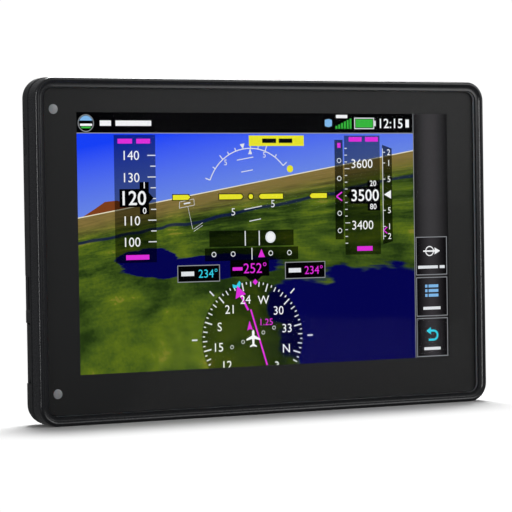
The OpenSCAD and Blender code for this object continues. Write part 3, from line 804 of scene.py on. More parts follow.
@dataclass
class Picture:
    """The lit display: a sky and country seen from the cockpit, with tapes, scales and a compass over it."""

    width: float = 151.3
    height: float = 91.4
    left: float = -75.1
    bottom: float = 17.3
    panel_half_width: float = 81.8
    panel_low: float = 13.3
    panel_high: float = 111.3
    panel_front: float = 3.05
    panel_back: float = 4.5
    column: float = 136.8
    tilt_deg: float = 9.6
    centre: Spot = (67.9, 61.4)
    body: str = "case"
    layers: dict[Ink, InkLayer] = field(default_factory=dict)

    def ink(self, ink: Ink) -> InkLayer:
        """Gives the layer of an ink, and starts it on its first use."""
        if ink not in self.layers:
            finish, depth = ink.value
            self.layers[ink] = InkLayer(finish.name, finish, depth, self.left, self.bottom)
        return self.layers[ink]

    def panel(self) -> None:
        """Builds the panel, whose front shows the landscape."""
        points: list[Vector] = []
        faces: list[Face] = []
        half = self.panel_half_width
        depths = (RIM + self.panel_front, RIM + self.panel_back)
        add_block(points, faces, (-half, half), depths, (self.panel_low, self.panel_high))
        panel = mesh_object("lit_panel", points, faces)
        face_outwards(panel)
        panel.data.materials.append(Landscape("landscape", self.left, self.bottom).build())
        panel.data.materials.append(MouldedPlastic("panel_edge", "101113").build())
        for polygon in panel.data.polygons:
            polygon.material_index = 0 if polygon.normal.y < -0.9 else 1
        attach(panel, self.body)
        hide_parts("lcd_panel")

    def label(self, ink: Ink, left: float, right: float, v: float, height: float) -> None:
        """Draws a plain bar where a real unit has a word."""
        self.ink(ink).box(left, right, v - height / 2, v + height / 2)

    def title_bar(self) -> None:
        """Draws the top bar: a round sign, plain title bars, signal, battery and clock."""
        low, high = 84.3, self.height + 2.0
        self.ink(Ink.BLACK).box(-0.8, self.column, low, high)
        self.ink(Ink.OUTLINE).box(-0.8, self.column, low - 0.2, low + 0.12)
        self.ink(Ink.HILL).disc(3.7, 87.7, 2.9)
        self.ink(Ink.OUTLINE).arc(3.7, 87.7, 2.9, 0.3)
        self.ink(Ink.PALE_BLUE).polygon([polar((3.7, 87.7), 2.6, turn) for turn in range(20, 161, 14)])
        self.ink(Ink.FIGURES).box(1.4, 6, 86.7, 87.5)
        self.ink(Ink.GREEN).box(1.9, 5.5, 85.9, 86.5)
        self.label(Ink.FIGURES, 8.9, 13.2, 87.7, 1.9)
        self.label(Ink.FIGURES, 14.9, 28.7, 87.7, 1.9)
        self.ink(Ink.PALE_BLUE).disc(100.4, 88.0, 1.5)
        self.ink(Ink.PALE_BLUE).box(98.9, 101.9, 86.8, 89.2)
        for i in range(6):
            self.ink(Ink.GREEN).box(103.4 + i * 1.2, 104.2 + i * 1.2, 85.9, 86.9 + i * 0.55)
        self.label(Ink.FIGURES, 103.6, 108.4, 90.4, 1.2)
        self.ink(Ink.GREEN).box(112, 119.3, 86.4, 89.4)
        self.ink(Ink.WHITE).frame(111.4, 119.9, 85.8, 90, 0.35)
        self.ink(Ink.WHITE).box(119.9, 120.6, 86.9, 88.9)
        self.ink(Ink.FIGURES).digits("12:15", 127.2, 87.9, 3.6, 0.01)
        self.label(Ink.FIGURES, 133.4, 134.9, 87.9, 3.0)

    def side_column(self) -> None:
        """Draws the right column: a blank grey field and three buttons with plain signs."""
        left, right = self.column, self.width
        self.ink(Ink.COLUMN).box(left, right + 3.5, -2.0, self.height + 2.0)
        self.ink(Ink.OUTLINE).box(left - 0.15, left + 0.1, -0.8, self.height + 0.8)
        buttons = ((31.0, 45.4), (15.5, 30.2), (0.3, 14.8))
        for low, high in buttons:
            self.ink(Ink.BUTTON).box(left + 0.5, right - 0.3, low, high)
            self.ink(Ink.OUTLINE).frame(left + 0.5, right - 0.3, low, high, 0.28)
        centre = (left + right) / 2
        white, blue, cyan = self.ink(Ink.FIGURES), self.ink(Ink.PALE_BLUE), self.ink(Ink.CYAN)
        arrow = 40.0
        white.box(centre - 3.6, centre + 1.8, arrow - 0.28, arrow + 0.28)
        white.arc(centre - 0.8, arrow, 1.7, 0.4)
        white.polygon([(centre + 1.4, arrow + 1.3), (centre + 3.8, arrow), (centre + 1.4, arrow - 1.3)])
        for row in range(3):
            v = 22.8 + row * 1.75
            blue.box(centre - 2.9, centre - 1.9, v, v + 1.1)
            blue.box(centre - 1.4, centre + 2.9, v, v + 1.1)
        back = 8.3
        cyan.arc(centre + 0.6, back, 1.7, 0.8, -90, 90)
        cyan.line((centre + 0.6, back + 1.7), (centre - 0.8, back + 1.7), 0.8)
        cyan.line((centre + 0.6, back - 1.7), (centre - 1.6, back - 1.7), 0.8)
        cyan.polygon([(centre - 0.6, back + 3.1), (centre - 2.6, back + 1.7), (centre - 0.6, back + 0.3)])
        self.label(Ink.WHITE, left + 1.4, right - 4.4, 34.0, 1.1)
        self.label(Ink.WHITE, right - 3.6, right - 1.4, 34.0, 1.1)
        self.label(Ink.WHITE, centre - 3.8, centre + 3.8, 18.5, 1.1)
        self.label(Ink.WHITE, centre - 3.6, centre + 3.6, 3.3, 1.1)

    def tilted(self, turn_deg: float, radius: float) -> Spot:
        """Gives a point at a direction and distance from the attitude centre."""
        return polar(self.centre, radius, turn_deg)

    def attitude(self) -> None:
        """Draws the horizon line, the hill, the pitch lines, the bank arc and the fixed yellow marks."""
        cream, white, yellow = self.ink(Ink.CREAM), self.ink(Ink.WHITE), self.ink(Ink.YELLOW)
        black = self.ink(Ink.READOUT)
        self.ink(Ink.HILL).polygon([(1.5, 54.8), (7, 58.0), (10.5, 60.2), (15, 60.6), (20, 59.4), (26, 58.8)])
        cream.line((-0.8, 54.5), (self.column, 77.8), 0.35)
        tilt = math.radians(self.tilt_deg)
        along, up = Vector((math.cos(tilt), math.sin(tilt))), Vector((-math.sin(tilt), math.cos(tilt)))
        level = Vector((self.centre[0] - 0.6, 66.2))
        for rise, half, figure in ((9.0, 3.4, 2.0), (4.5, 2.4, 0), (-9.0, 3.6, 2.6), (-13.5, 2.4, 0)):
            spot = level + up * rise
            white.line(tuple(spot - along * half), tuple(spot + along * half), 0.3)
            for side in (-1, 1):
                if figure:
                    place = spot + along * side * (half + 4.6)
                    white.digits("5", place.x, place.y, figure, 0)
        top, radius = 90 + self.tilt_deg, 17.4
        white.arc(*self.centre, radius, 0.35, top - 60, top + 60)
        for step in (10, 20, 30, 45, 60):
            for side in (-1, 1):
                reach = 2.0 if step in (30, 60) else 1.2
                turn = top + side * step
                white.line(self.tilted(turn, radius), self.tilted(turn, radius + reach), 0.35)
        for turn, lift in ((top, 1.9), (90, -2.1)):
            sides = [self.tilted(turn + side, radius + lift) for side in (3, -3)]
            white.polygon([self.tilted(turn, radius), *sides])
        yellow.box(67.4, 90.0, 79.6, 83.4)
        for u0, u1 in ((72.8, 78.5), (79.6, 85.2)):
            self.ink(Ink.SIGN).box(u0, u1, 80.7, 82.3)
        yellow.disc(84.1, 71.3, 1.3)
        middle, half = self.centre[1], 0.9
        for u0, u1 in ((36.7, 43.6), (55.1, 64.8), (71.1, 81.0), (92.1, 99.3)):
            left_end, right_end = (0.9, 0) if u0 > self.centre[0] else (0, 0.9)
            for ink, grow in ((black, 0.3), (yellow, 0)):
                ink.polygon(
                    [
                        (u0 - grow + left_end, middle - half - grow),
                        (u1 + grow - right_end, middle - half - grow),
                        (u1 + grow, middle),
                        (u1 + grow - right_end, middle + half + grow),
                        (u0 - grow + left_end, middle + half + grow),
                        (u0 - grow, middle),
                    ]
                )
        black.disc(*self.centre, 1.3)
        yellow.disc(*self.centre, 0.9)

    def tape(
        self, left: float, right: float, low: float, high: float, figures: dict[float, str], u: float
    ) -> None:
        """Draws a scale tape.

        Args:
            left: its left edge.
            right: its right edge.
            low: its lower end.
            high: its upper end.
            figures: height of each figure on the picture, and the figure.
            u: the middle of the figures.
        """
        self.ink(Ink.SCALE_SHADE).box(left, right, low, high)
        for v, text in figures.items():
            self.ink(Ink.FIGURES).digits(text, u, v, 3.3, 0)

    def readout(
        self, left: float, right: float, roll: float, low: float, high: float, text: str, size: float
    ) -> None:
        """Draws a black read-out box with its rolling last figures.

        Args:
            left: left edge of the box.
            right: right edge.
            roll: left edge of the taller part that rolls.
            low: lower edge of the box.
            high: upper edge.
            text: the figures.
            size: height of the figures.
        """
        self.ink(Ink.READOUT).box(left, right, low, high)
        self.ink(Ink.READOUT).box(roll, right, low - 2.6, high + 2.4)
        self.ink(Ink.FIGURES).digits(text, (left + right) / 2, (low + high) / 2, size, 0.01)

    def tapes(self) -> None:
        """Draws the speed and height tapes, their read-outs and the two narrow scales beside the second."""
        speed = {76.4: "140", 68.6: "130", 53.4: "110", 45.9: "100"}
        height = {73.0: "3600", 50.3: "3400"}
        self.tape(14.2, 30.2, 38.6, 83.6, speed, 20.8)
        self.tape(107.0, 122.2, 39.4, 83.4, height, 114.4)
        white, figures, magenta = self.ink(Ink.WHITE), self.ink(Ink.FIGURES), self.ink(Ink.MAGENTA)
        for i in range(9):
            v = 45.9 + i * 3.81
            white.box(27.0 if i % 2 == 0 else 28.1, 30.2, v - 0.18, v + 0.18)
        for i in range(15):
            v = 43.7 + i * 2.5
            white.box(107.0, 109.1 if i % 4 == 3 else 108.1, v - 0.14, v + 0.14)
        self.readout(16.0, 27.4, 23.8, 58.2, 64.6, "120", 5.1)
        self.readout(109.2, 122.0, 116.6, 58.2, 64.4, "3500", 4.4)
        figures.digits("1", 25.6, 65.9, 2.2, 0.01)
        figures.digits("0", 25.6, 56.9, 2.2, 0.01)
        figures.digits("20", 119.0, 65.7, 2.1, 0.01)
        figures.digits("80", 119.0, 57.1, 2.1, 0.01)
        self.ink(Ink.READOUT).polygon([(27.4, 63.2), (29.2, 61.4), (27.4, 59.6)])
        self.ink(Ink.READOUT).polygon([(109.2, 63), (107.6, 61.3), (109.2, 59.6)])
        self.ink(Ink.DEEP_SHADE).box(102.9, 106.4, 45.2, 81.8)
        for v in (48.4, 54.8, 67.6, 74.2):
            white.arc(104.7, v, 0.8, 0.28)
        magenta.line((105.8, 62.6), (103.4, 61.0), 0.5)
        magenta.line((105.8, 59.4), (103.4, 61.0), 0.5)
        self.ink(Ink.DEEP_SHADE).polygon([(123.2, 43), (127.4, 44), (127.4, 78.6), (123.2, 80)])
        for v, text in ((77.2, "2"), (73.2, "1"), (67.2, "5"), (55.6, "5"), (49.6, "1"), (46.0, "2")):
            figures.digits(text, 125.9, v, 2.2, 0)
            white.box(123.4, 124.4, v - 0.15, v + 0.15)
        white.box(123.2, 123.45, 44.8, 78.6)
        figures.polygon([(123.7, 61.5), (126.7, 63.1), (126.7, 59.9)])
        magenta.line((124.9, 49.4), (123.4, 48.2), 0.4)
        magenta.line((124.9, 47.0), (123.4, 48.2), 0.4)
        self.label(Ink.MAGENTA, 15.6, 21.2, 81.4, 1.7)
        self.label(Ink.MAGENTA, 22.8, 28.2, 81.4, 1.7)
        self.label(Ink.MAGENTA, 18.2, 27.2, 40.5, 1.7)
        self.label(Ink.MAGENTA, 108.9, 114.4, 82.0, 1.7)
        self.label(Ink.MAGENTA, 115.9, 121.4, 82.0, 1.7)
        self.label(Ink.MAGENTA, 111.9, 118.5, 41.6, 1.7)
        self.label(Ink.MAGENTA, 104.0, 105.4, 79.8, 1.8)

    def middle_panels(self) -> None:
        """Draws the slip ball, the course bar and the three boxes of figures below them."""
        deep, white, magenta = self.ink(Ink.DEEP_SHADE), self.ink(Ink.WHITE), self.ink(Ink.MAGENTA)
        deep.box(51.0, 85.3, 43.5, 49.2)
        white.box(65.2, 65.6, 43.7, 49.0)
        white.box(70.9, 71.3, 43.7, 49.0)
        white.disc(75.7, 46.6, 2.1)
        self.ink(Ink.FIGURES).disc(75.7, 46.6, 1.5)
        deep.box(49.1, 87.1, 38.4, 43.0)
        for u in (52.7, 60.4, 75.7, 83.4):
            white.arc(u, 40.8, 0.8, 0.3)
        white.box(67.85, 68.2, 38.6, 42.9)
        magenta.polygon([(70.5, 39.4), (73.3, 39.4), (71.9, 42.4)])
        for left, right, low, high, ink, text, u, size in (
            (38.1, 55.0, 31.1, 37.2, Ink.CYAN, "234°", 50.2, 3.1),
            (59.2, 75.0, 32.6, 38.6, Ink.MAGENTA, "252°", 69.2, 3.8),
            (81.5, 98.3, 31.2, 37.4, Ink.MAGENTA, "234°", 93.4, 3.1),
        ):
            self.ink(Ink.BLACK).box(left, right, low, high)
            if size < 3.5:
                self.ink(Ink.OUTLINE).frame(left, right, low, high, 0.3)
                self.label(Ink.WHITE, left + 1.5, left + 6.6, (low + high) / 2, 1.6)
            else:
                self.label(ink, left + 0.9, left + 4.9, (low + high) / 2 - 0.2, 1.2)
            self.ink(ink).digits(text, u, (low + high) / 2, size, 0.0)
        self.ink(Ink.BLACK).polygon([(65.4, 32.6), (72, 32.6), (70.4, 31.2), (67, 31.2)])

    def compass(self) -> None:
        """Draws the compass card with its figures, the course arrow and the small aircraft."""
        centre, radius, lowest = (68.0, 10.4), 20.6, -0.8
        rim = [polar(centre, radius, 7.5 * i) for i in range(48)]
        self.ink(Ink.CARD_SHADE).polygon([(u, max(lowest, v)) for u, v in rim])
        white, figures, magenta = self.ink(Ink.WHITE), self.ink(Ink.FIGURES), self.ink(Ink.MAGENTA)
        north = 90 + 252
        card = [north - step * 5 for step in range(72)]
        white.ticks(centre, 17.3, 20.3, card[::6], 0.5)
        white.ticks(centre, 18.5, 20.3, card[::2], 0.42)
        white.ticks(centre, 19.4, 20.3, card, 0.42)
        white.ticks(centre, 22.0, 24.4, [45, 135], 0.5)
        white.ticks(centre, 22.4, 24.6, [0, 180], 0.55)
        for step, text in enumerate(("N", "3", "6", "E", "12", "15", "S", "21", "24", "W", "30", "33")):
            u, v = polar(centre, 14.2, north - step * 30)
            if v > -1.2:
                figures.digits(text, u, v, 3.1, 0)
        magenta.line((66.2, 20.4), (62.9, 26.4), 0.8)
        magenta.polygon([(61.8, 29.4), (61.1, 24.6), (63.2, 25.5), (65.3, 26.2)])
        magenta.line((67.2, 20.6), (73.6, 0.2), 0.62)
        magenta.polygon([(66.6, 16.6), (65.6, 13.0), (66.7, 13.6), (67.9, 13.2)])
        magenta.digits("1.25", 73.6, 15.9, 2.4, 0)
        magenta.polygon([(69.2, 31.6), (70.3, 30.5), (69.2, 29.4), (68.1, 30.5)])
        heading = [(59.9, 29.9), (61.5, 29.5), (62.7, 31.1), (63.3, 30.4), (62.9, 28.7), (60.2, 28.5)]
        self.ink(Ink.CYAN).polygon(heading)
        for u, v in ((59.4, 7.3), (63.9, 9.0), (72.2, 12.1), (76.6, 13.7)):
            white.arc(u, v, 0.6, 0.2)
        half = [(0, 2.9), (0.5, 2.2), (0.5, 0.8), (2.8, -0.4), (2.8, -1.0), (0.5, -0.5), (0.4, -2.3)]
        half += [(1.4, -3.0), (1.4, -3.4), (0, -3.1)]
        aircraft = half + [(-across, up) for across, up in reversed(half[1:-1])]
        figures.polygon([(centre[0] + across, centre[1] + up) for across, up in aircraft])

    def signpost(self) -> None:
        """Draws a blank sign on a thin post over the country, and the runway that it stands for."""
        white = self.ink(Ink.WHITE)
        corners = ((39.2, 57.6), (45.2, 58.6), (45.0, 60.8), (39.4, 59.8))
        for first, second in zip(corners, corners[1:] + corners[:1]):
            white.line(first, second, 0.15)
        white.line((41, 59.1), (43.6, 59.5), 0.5)
        white.line((42.6, 58.1), (44.4, 50.0), 0.12)
        for lift in (0, 0.9):
            white.line((44.8, 49.2 + lift), (48.4, 51.4 + lift), 0.14)

    def build(self) -> None:
        """Builds the panel and every sheet of ink."""
        self.panel()
        self.title_bar()
        self.side_column()
        self.attitude()
        self.signpost()
        self.tapes()
        self.middle_panels()
        self.compass()
        for layer in self.layers.values():
            if layer.faces:
                layer.build(self.body, "display")
        LOG.info("picture: %d sheets", len(self.layers))


# ---------------------------------------------------------------- the rest of the object


@dataclass(frozen=True)
class Diffuser:
    """Milky acrylic or white film: light spreads inside it and it looks softly lit all over."""

    name: str
    colour: str
    roughness: float = 0.35
    cloud_mm: float = 2

    def build(self) -> bpy.types.Material:
        """Builds the milky body with a slight cloudiness."""
        material, tree, output = empty_material(self.name)
        shader = add_node(
            tree,
            "ShaderNodeBsdfPrincipled",
            {"Roughness": self.roughness, "IOR": 1.49, "Subsurface Weight": 0.3, "Subsurface Scale": MM},
            {"Base Color": shades(tree, noise(tree, self.cloud_mm, 2.0), self.colour, 0.92, 1.06)},
        )
        tree.links.new(shader.outputs[0], output.inputs["Surface"])
        return material


@dataclass(frozen=True)
class CircuitBoard:
    """Glass-epoxy board under green solder resist, with copper tracks and tinned pads showing through."""

    name: str
    resist: str = "1d5a3a"
    track: str = "2f7a4c"
    pad: str = "c9ccc8"
    track_mm: float = 1.6
    pad_mm: float = 2.4
    track_height_mm: float = 0.03

    def cells(self, tree: Tree, distance: str, feature_mm: float, randomness: float) -> Socket:
        """Gives the distance from the middles of squared cells."""
        settings = {"distance": distance, "Scale": per_metre(feature_mm), "Randomness": randomness}
        point = {"Vector": object_point(tree)}
        return add_node(tree, "ShaderNodeTexVoronoi", settings, point).outputs["Distance"]

    def build(self) -> bpy.types.Material:
        """Builds the resist with squared tracks, and pads in the middles of the cells."""
        material, tree, output = empty_material(self.name)
        is_track = compute(tree, "GREATER_THAN", self.cells(tree, "CHEBYCHEV", self.track_mm, 0.8), 0.42)
        is_pad = compute(tree, "LESS_THAN", self.cells(tree, "MANHATTAN", self.pad_mm, 0.4), 0.2)
        colour = mix_colours(tree, is_track, linear(self.resist), linear(self.track))
        shader = add_node(
            tree,
            "ShaderNodeBsdfPrincipled",
            {"Roughness": 0.3, "IOR": 1.5},
            {
                "Base Color": mix_colours(tree, is_pad, colour, linear(self.pad)),
                "Metallic": is_pad,
                "Normal": bump(tree, is_track, 0.5, self.track_height_mm),
            },
        )
        tree.links.new(shader.outputs[0], output.inputs["Surface"])
        return material


class Finish(Enum):
    """The object's finishes apart from the picture."""

    FRONT_HOUSING = MouldedPlastic("front_housing", "16171a", 0.26, 0.3, 0.004)
    REAR_HOUSING = MouldedPlastic("rear_housing", "1b1c1e", 0.5, 0.4, 0.016)
    COVER = MouldedPlastic("cover_plastic", "18191b", 0.48, 0.4, 0.014)
    CARD = MouldedPlastic("card_plastic", "131417", 0.4, 0.25, 0.006)
    RUBBER = MouldedPlastic("silicone_rubber", "2c2d2f", 0.7, 0.8, 0.01, 1.41)
    FLEX = MouldedPlastic("polyimide_film", "a85c1e", 0.28, 1.2, 0.004, 1.7)
    CERAMIC = MouldedPlastic("ceramic", "bdb29c", 0.55, 0.2, 0.01, 1.6)
    CHIP = MouldedPlastic("moulded_epoxy", "17181a", 0.5, 0.2, 0.008, 1.55)
    BOARD = CircuitBoard("circuit_board")
    GLASS = CoatedGlass("coated_glass", 0.03)
    GROUND_EDGE = Diffuser("ground_glass", "6c6e72", 0.3)
    TOUCH = CoatedGlass("touch_film", 0.02)
    MASK = PrintedInk("printed_mask", "0a0b0c", 0.46)
    PIPE = Diffuser("sensor_diffuser", "8d8f92")
    TRAY = Diffuser("white_tray", "d9dbdc")
    ALLOY = WorkedMetal("cast_alloy", "9a9da1", 0.45, (0.7, 0.7, 0.7), 0.02)
    TIN = WorkedMetal("tinned_steel", "b9bcc0", 0.3, (0.2, 2.0, 6.0), 0.003)
    GOLD = WorkedMetal("gold_plate", "d8ab52", 0.25, (0.3, 0.3, 0.3), 0.002)
    BRASS = WorkedMetal("brass", "c39a48", 0.32, (0.15, 1.5, 0.15), 0.006)
    SCREW = WorkedMetal("zinc_steel", "75787c", 0.35, (0.25, 0.25, 0.25), 0.004)
    STAINLESS = WorkedMetal("stainless", "a9acaf", 0.24, (0.2, 0.2, 1.5), 0.003)
    FOIL = WorkedMetal("cell_foil", "a7adb3", 0.38, (1.2, 1.2, 1.2), 0.03)


class Dresser:
    """Puts finishes and softened edges on the frame's own parts."""

    def __init__(self, nodes: dict[str, bpy.types.Object]) -> None:
        """Keeps the frame's parts and the materials that are already made."""
        self.nodes = nodes
        self.made: dict[Finish, bpy.types.Material] = {}

    def material(self, finish: Finish) -> bpy.types.Material:
        """Gives a finish's material, and makes it on its first use."""
        if finish not in self.made:
            self.made[finish] = finish.value.build()
        return self.made[finish]

    def dress(self, names: tuple[str, ...], finish: Finish, edge_mm: float, angle_deg: float = 28) -> None:
        """Dresses parts of the frame.

        Args:
            names: the parts' names.
            finish: their finish.
            edge_mm: how much their edges are rounded.
            angle_deg: edges flatter than this stay smooth.
        """
        for name in names:
            node = self.nodes[name]
            node.data.materials.clear()
            node.data.materials.append(self.material(finish))
            soften(node, edge_mm, angle_deg)


@dataclass
class Housing:
    """The two plastic shells with the seal between them, and the screws and inserts that hold them."""

    dresser: Dresser
    moulded_edge: float = 0.12
    screw_edge: float = 0.08
    case_screws: int = 6
    board_screws: int = 4
    inserts: int = 4

    def build(self) -> None:
        """Dresses the shells, seal, screws and inserts."""
        self.dresser.dress(("front_frame",), Finish.FRONT_HOUSING, 0.0)
        self.dresser.dress(("rear_shell",), Finish.REAR_HOUSING, self.moulded_edge)
        self.dresser.dress(("case_seal",), Finish.RUBBER, 0.05)
        screws = tuple(f"case_screw_{i + 1}" for i in range(self.case_screws))
        screws += tuple(f"board_screw_{i + 1}" for i in range(self.board_screws))
        brass = (*(f"mount_insert_{i + 1}" for i in range(self.inserts)), "pack_nut")
        self.dresser.dress(screws, Finish.SCREW, self.screw_edge)
        self.dresser.dress(brass, Finish.BRASS, self.screw_edge)


@dataclass
class GlassStack:
    """What lies over the picture: the cover glass, its printed border, its glue and the touch sensor."""

    dresser: Dresser
    ground_edge: float = 0.2
    mask_size: Spot = (174.8, 113.2)
    mask_corner: float = 3.1
    mask_middle: float = 60.4
    mask_depth: Spot = (2.12, 2.18)
    window: tuple[float, float, float, float] = (-75.3, 76.1, 17.4, 108.8)
    sensors: tuple[Spot, ...] = ((-83.9, 11.2), (-83.9, 109.8))
    sensor_radius: float = 1.7
    sensor_steps: int = 32

    def mask(self) -> None:
        """Builds the printed border, a hair clear of the glass, open over the picture and the sensors."""
        left, right, low, high = self.window
        loop = [(x, z + self.mask_middle) for x, z in rounded_loop(*self.mask_size, self.mask_corner)]
        holes = [[(left, low), (right, low), (right, high), (left, high)]]
        turns = [360 * i / self.sensor_steps for i in range(self.sensor_steps)]
        holes += [[polar(sensor, self.sensor_radius, turn) for turn in turns] for sensor in self.sensors]
        near, far = (RIM + depth for depth in self.mask_depth)
        border = pierced_plate("printed_border", loop, holes, near, far)
        border.data.materials.append(self.dresser.material(Finish.MASK))
        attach(border, "case")
        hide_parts("mask_film")

    def build(self) -> None:
        """Dresses the glass, its ground edge, the glue, the touch sensor and the light guides."""
        self.dresser.dress(("cover_glass",), Finish.GLASS, self.ground_edge)
        glass = self.dresser.nodes["cover_glass"].data
        glass.materials.append(self.dresser.material(Finish.GROUND_EDGE))
        for polygon in glass.polygons:
            polygon.material_index = 0 if abs(polygon.normal.y) > 0.9 else 1
        self.mask()
        self.dresser.dress(("glass_adhesive",), Finish.RUBBER, 0.0)
        self.dresser.dress(("touch_sensor",), Finish.TOUCH, 0.0)
        self.dresser.dress(("light_pipe_upper", "light_pipe_lower"), Finish.PIPE, 0.05)


@dataclass
class SideFittings:
    """The left side's power key, memory card and socket with its door."""

    dresser: Dresser
    small_edge: float = 0.15
    pads: int = 8
    pad_pitch: float = 1.1
    pad_width: float = 0.8
    pad_length: float = 2.9
    pad_margin: float = 1.0
    pad_drop: float = 0.6
    pad_sunk: float = 0.01
    pad_lift: float = 0.01

    def card_contacts(self) -> None:
        """Builds the row of gold contacts on the memory card's rear face, near its inner end."""
        low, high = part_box("memory_card")
        far = high.x / MM - self.pad_margin
        face = high.y / MM
        middle = (low.z + high.z) / 2 / MM - self.pad_drop
        points: list[Vector] = []
        faces: list[Face] = []
        for i in range(self.pads):
            z = middle + (i - (self.pads - 1) / 2) * self.pad_pitch
            add_block(
                points,
                faces,
                (far - self.pad_length, far),
                (face - self.pad_sunk, face + self.pad_lift),
                (z - self.pad_width / 2, z + self.pad_width / 2),
            )
        pads = mesh_object("card_contacts", points, faces)
        face_outwards(pads)
        pads.data.materials.append(self.dresser.material(Finish.GOLD))
        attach(pads, "memory_card")

    def build(self) -> None:
        """Dresses the key, the card, the door and what lies behind them."""
        self.dresser.dress(("power_key", "port_door"), Finish.COVER, self.small_edge)
        self.dresser.dress(("memory_card",), Finish.CARD, 0.08)
        self.dresser.dress(("port_door_seal",), Finish.RUBBER, 0.08)
        self.dresser.dress(("port_door_pin", "usb_receptacle", "card_socket"), Finish.TIN, 0.05)
        self.card_contacts()


@dataclass
class BatteryPack:
    """The battery on the back: its cover and base, two cells, and the screw with its folding ring."""

    dresser: Dresser
    cover_edge: float = 0.3
    metal_edge: float = 0.12

    def build(self) -> None:
        """Dresses the pack, its screw and its ring."""
        self.dresser.dress(("battery_cover",), Finish.COVER, self.cover_edge)
        self.dresser.dress(("battery_base",), Finish.COVER, 0.1)
        self.dresser.dress(("battery_cell_1", "battery_cell_2"), Finish.FOIL, 0.4)
        self.dresser.dress(("pack_screw", "d_ring"), Finish.STAINLESS, self.metal_edge, 35)
        self.dresser.dress(("battery_contacts",), Finish.GOLD, 0.05)


@dataclass
class Internals:
    """What the shells hide: the chassis, the boards and everything that stands on them."""

    dresser: Dresser
    cast_edge: float = 0.2

    def build(self) -> None:
        """Dresses the chassis, boards, cans, antennas and cables."""
        self.dresser.dress(("chassis",), Finish.ALLOY, self.cast_edge)
        self.dresser.dress(("backlight",), Finish.TRAY, 0.1)
        self.dresser.dress(("main_board", "key_board"), Finish.BOARD, 0.05)
        cans = ("shield_can_main", "shield_can_radio", "backup_cell")
        self.dresser.dress(cans, Finish.TIN, 0.1)
        self.dresser.dress(("heat_spreader",), Finish.ALLOY, 0.05)
        self.dresser.dress(("gnss_antenna",), Finish.CERAMIC, 0.2)
        self.dresser.dress(("wireless_antenna", "key_switch"), Finish.CHIP, 0.1)
        self.dresser.dress(("antenna_jack",), Finish.GOLD, 0.06)
        self.dresser.dress(("display_flex", "touch_flex"), Finish.FLEX, 0.03)


# ---------------------------------------------------------------- studio and camera


@dataclass(frozen=True)
class Softbox:
    """A large soft lamp."""

    name: str
    place: tuple[float, float, float]
    aim: tuple[float, float, float]
    size: tuple[float, float]
    watts: float

    def build(self) -> None:
        """Adds the lamp, pointed at its aim."""
        data = bpy.data.lights.new(self.name, "AREA")
        data.shape = "RECTANGLE"
        data.size, data.size_y = self.size
        data.energy = self.watts
        lamp = bpy.data.objects.new(self.name, data)
        lamp.location = self.place
        heading = Vector(self.aim) - Vector(self.place)
        lamp.rotation_euler = heading.to_track_quat("-Z", "Y").to_euler()
        bpy.context.scene.collection.objects.link(lamp)


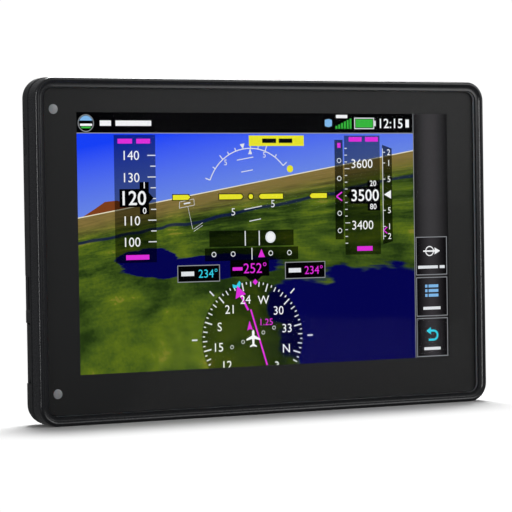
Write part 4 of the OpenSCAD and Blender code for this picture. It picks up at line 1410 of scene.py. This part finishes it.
@dataclass
class Studio:
    """A white room: a pale floor with a painted shadow round the case, an even white backdrop and soft lamps,
    in metres.
    """

    floor_half: float = 3.0
    lamps: tuple[Softbox, ...] = (
        Softbox("overhead", (0.2, 0.3, 0.75), (0.0, 0.0, 0.0), (0.5, 0.4), 15.0),
        Softbox("left_strip", (-0.9, -0.4, 0.2), (-0.05, 0, 0.06), (0.16, 0.6), 3.2),
        Softbox("right_lamp", (0.75, -0.75, 0.5), (0.03, 0, 0.06), (0.9, 0.7), 5.0),
    )
    horizon_light: float = 0.1
    zenith_light: float = 0.3
    floor_gap_mm: float = 0.05
    white: float = 1.02
    shadow_footprint: tuple[float, float, float] = (0.085, 0.011, 0.001)
    grain_mm: float = 0.5
    # painted shadow: the paper near the case is darker than the white beyond, and fades to it between these
    # distances from the case's footprint
    paper_shade_tone: Spot = (0.56, 0.6)
    painted_shadow_start: float = 0.003
    painted_shadow_end: float = 0.05

    def floor(self) -> None:
        """Adds the floor, just under the feet: grained paper near the case, darker in tone as painted shadow,
        fading to an even glowing white with distance from the case's footprint.
        """
        half, under = self.floor_half / MM, -self.floor_gap_mm
        corners = [Vector((x * half, y * half, under)) for x, y in ((-1, -1), (1, -1), (1, 1), (-1, 1))]
        floor = mesh_object("floor", corners, [(0, 1, 2, 3)])
        material, tree, output = empty_material("paper_painted_shade")
        # painted shade: the paper's darker tone near the case deepens its shadow
        tone = remap(tree, noise(tree, self.grain_mm, 2.0), 0, 1, *self.paper_shade_tone)
        paper_painted_shade = add_node(tree, "ShaderNodeBsdfDiffuse", {}, {"Color": tone})
        lit = add_node(tree, "ShaderNodeEmission", {"Color": (1, 1, 1, 1), "Strength": self.white})
        beyond = object_point(tree)
        for operation, second in (("ABSOLUTE", {}), ("SUBTRACT", {1: self.shadow_footprint}), ("MAXIMUM", {})):
            settings = {"operation": operation, **second}
            beyond = add_node(tree, "ShaderNodeVectorMath", settings, {0: beyond}).outputs[0]
        away = add_node(tree, "ShaderNodeVectorMath", {"operation": "LENGTH"}, {0: beyond}).outputs["Value"]
        # painted shadow: lit paper near the case fades to glowing white with distance from its footprint,
        # which shapes the shadow's edge
        fade = remap(tree, away, self.painted_shadow_start, self.painted_shadow_end, smooth=True)
        mixed = add_node(tree, "ShaderNodeMixShader", {}, {0: fade, 1: paper_painted_shade.outputs[0], 2: lit.outputs[0]})
        tree.links.new(mixed.outputs[0], output.inputs["Surface"])
        floor.data.materials.append(material)
        floor.visible_glossy = False

    def backdrop(self) -> None:
        """Sets the surroundings: plain white to look at, and a soft sky for the light."""
        world = bpy.data.worlds.new("backdrop")
        bpy.context.scene.world = world
        world.use_nodes = True
        tree = world.node_tree
        tree.nodes.clear()
        output = tree.nodes.new("ShaderNodeOutputWorld")
        direction = add_node(tree, "ShaderNodeTexCoord").outputs["Generated"]
        height = add_node(tree, "ShaderNodeSeparateXYZ", {}, {0: direction}).outputs["Z"]
        level = remap(tree, height, -0.1, 0.9, self.horizon_light, self.zenith_light, smooth=True)
        soft = add_node(tree, "ShaderNodeBackground", {"Color": (1, 1, 1, 1)}, {"Strength": level})
        plain = add_node(tree, "ShaderNodeBackground", {"Color": (1, 1, 1, 1), "Strength": self.white})
        seen = add_node(tree, "ShaderNodeLightPath").outputs["Is Camera Ray"]
        mixed = add_node(tree, "ShaderNodeMixShader", {}, {0: seen, 1: soft.outputs[0], 2: plain.outputs[0]})
        tree.links.new(mixed.outputs[0], output.inputs["Surface"])

    def build(self) -> None:
        """Sets up the whole studio."""
        self.floor()
        self.backdrop()
        for lamp in self.lamps:
            lamp.build()
        bpy.context.scene.view_settings.view_transform = "Standard"


@dataclass(frozen=True)
class Viewpoint:
    """Where the camera stands, in millimetres and degrees."""

    place: tuple[float, float, float] = (-392.0, -750.5, 76.3)
    yaw_deg: float = 27.53
    pitch_deg: float = 1.31
    roll_deg: float = -0.85
    lens: float = 162.7

    def build(self) -> None:
        """Adds the camera and makes it the scene's."""
        data = bpy.data.cameras.new("camera")
        data.lens = self.lens
        data.clip_start, data.clip_end = 0.01, 50
        camera = bpy.data.objects.new("camera", data)
        yaw, pitch, roll = (math.radians(a) for a in (self.yaw_deg, self.pitch_deg, self.roll_deg))
        ahead = Vector(
            (math.sin(yaw) * math.cos(pitch), math.cos(yaw) * math.cos(pitch), -math.sin(pitch))
        )
        level = Vector((math.cos(yaw), -math.sin(yaw), 0))
        up = level.cross(ahead)
        right = level * math.cos(roll) + up * math.sin(roll)
        upright = up * math.cos(roll) - level * math.sin(roll)
        turn = Matrix((right, upright, -ahead)).transposed().to_4x4()
        camera.matrix_world = Matrix.Translation(Vector(self.place) * MM) @ turn
        bpy.context.scene.collection.objects.link(camera)
        bpy.context.scene.camera = camera


def main() -> None:
    """Loads the frame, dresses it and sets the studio."""
    logging.basicConfig(level=logging.INFO)
    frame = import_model()
    dresser = Dresser(frame["nodes"])
    for assembly in (
        Housing(dresser),
        GlassStack(dresser),
        Picture(),
        SideFittings(dresser),
        BatteryPack(dresser),
        Internals(dresser),
        Studio(),
        Viewpoint(),
    ):
        assembly.build()


if __name__ == "__main__":
    main()
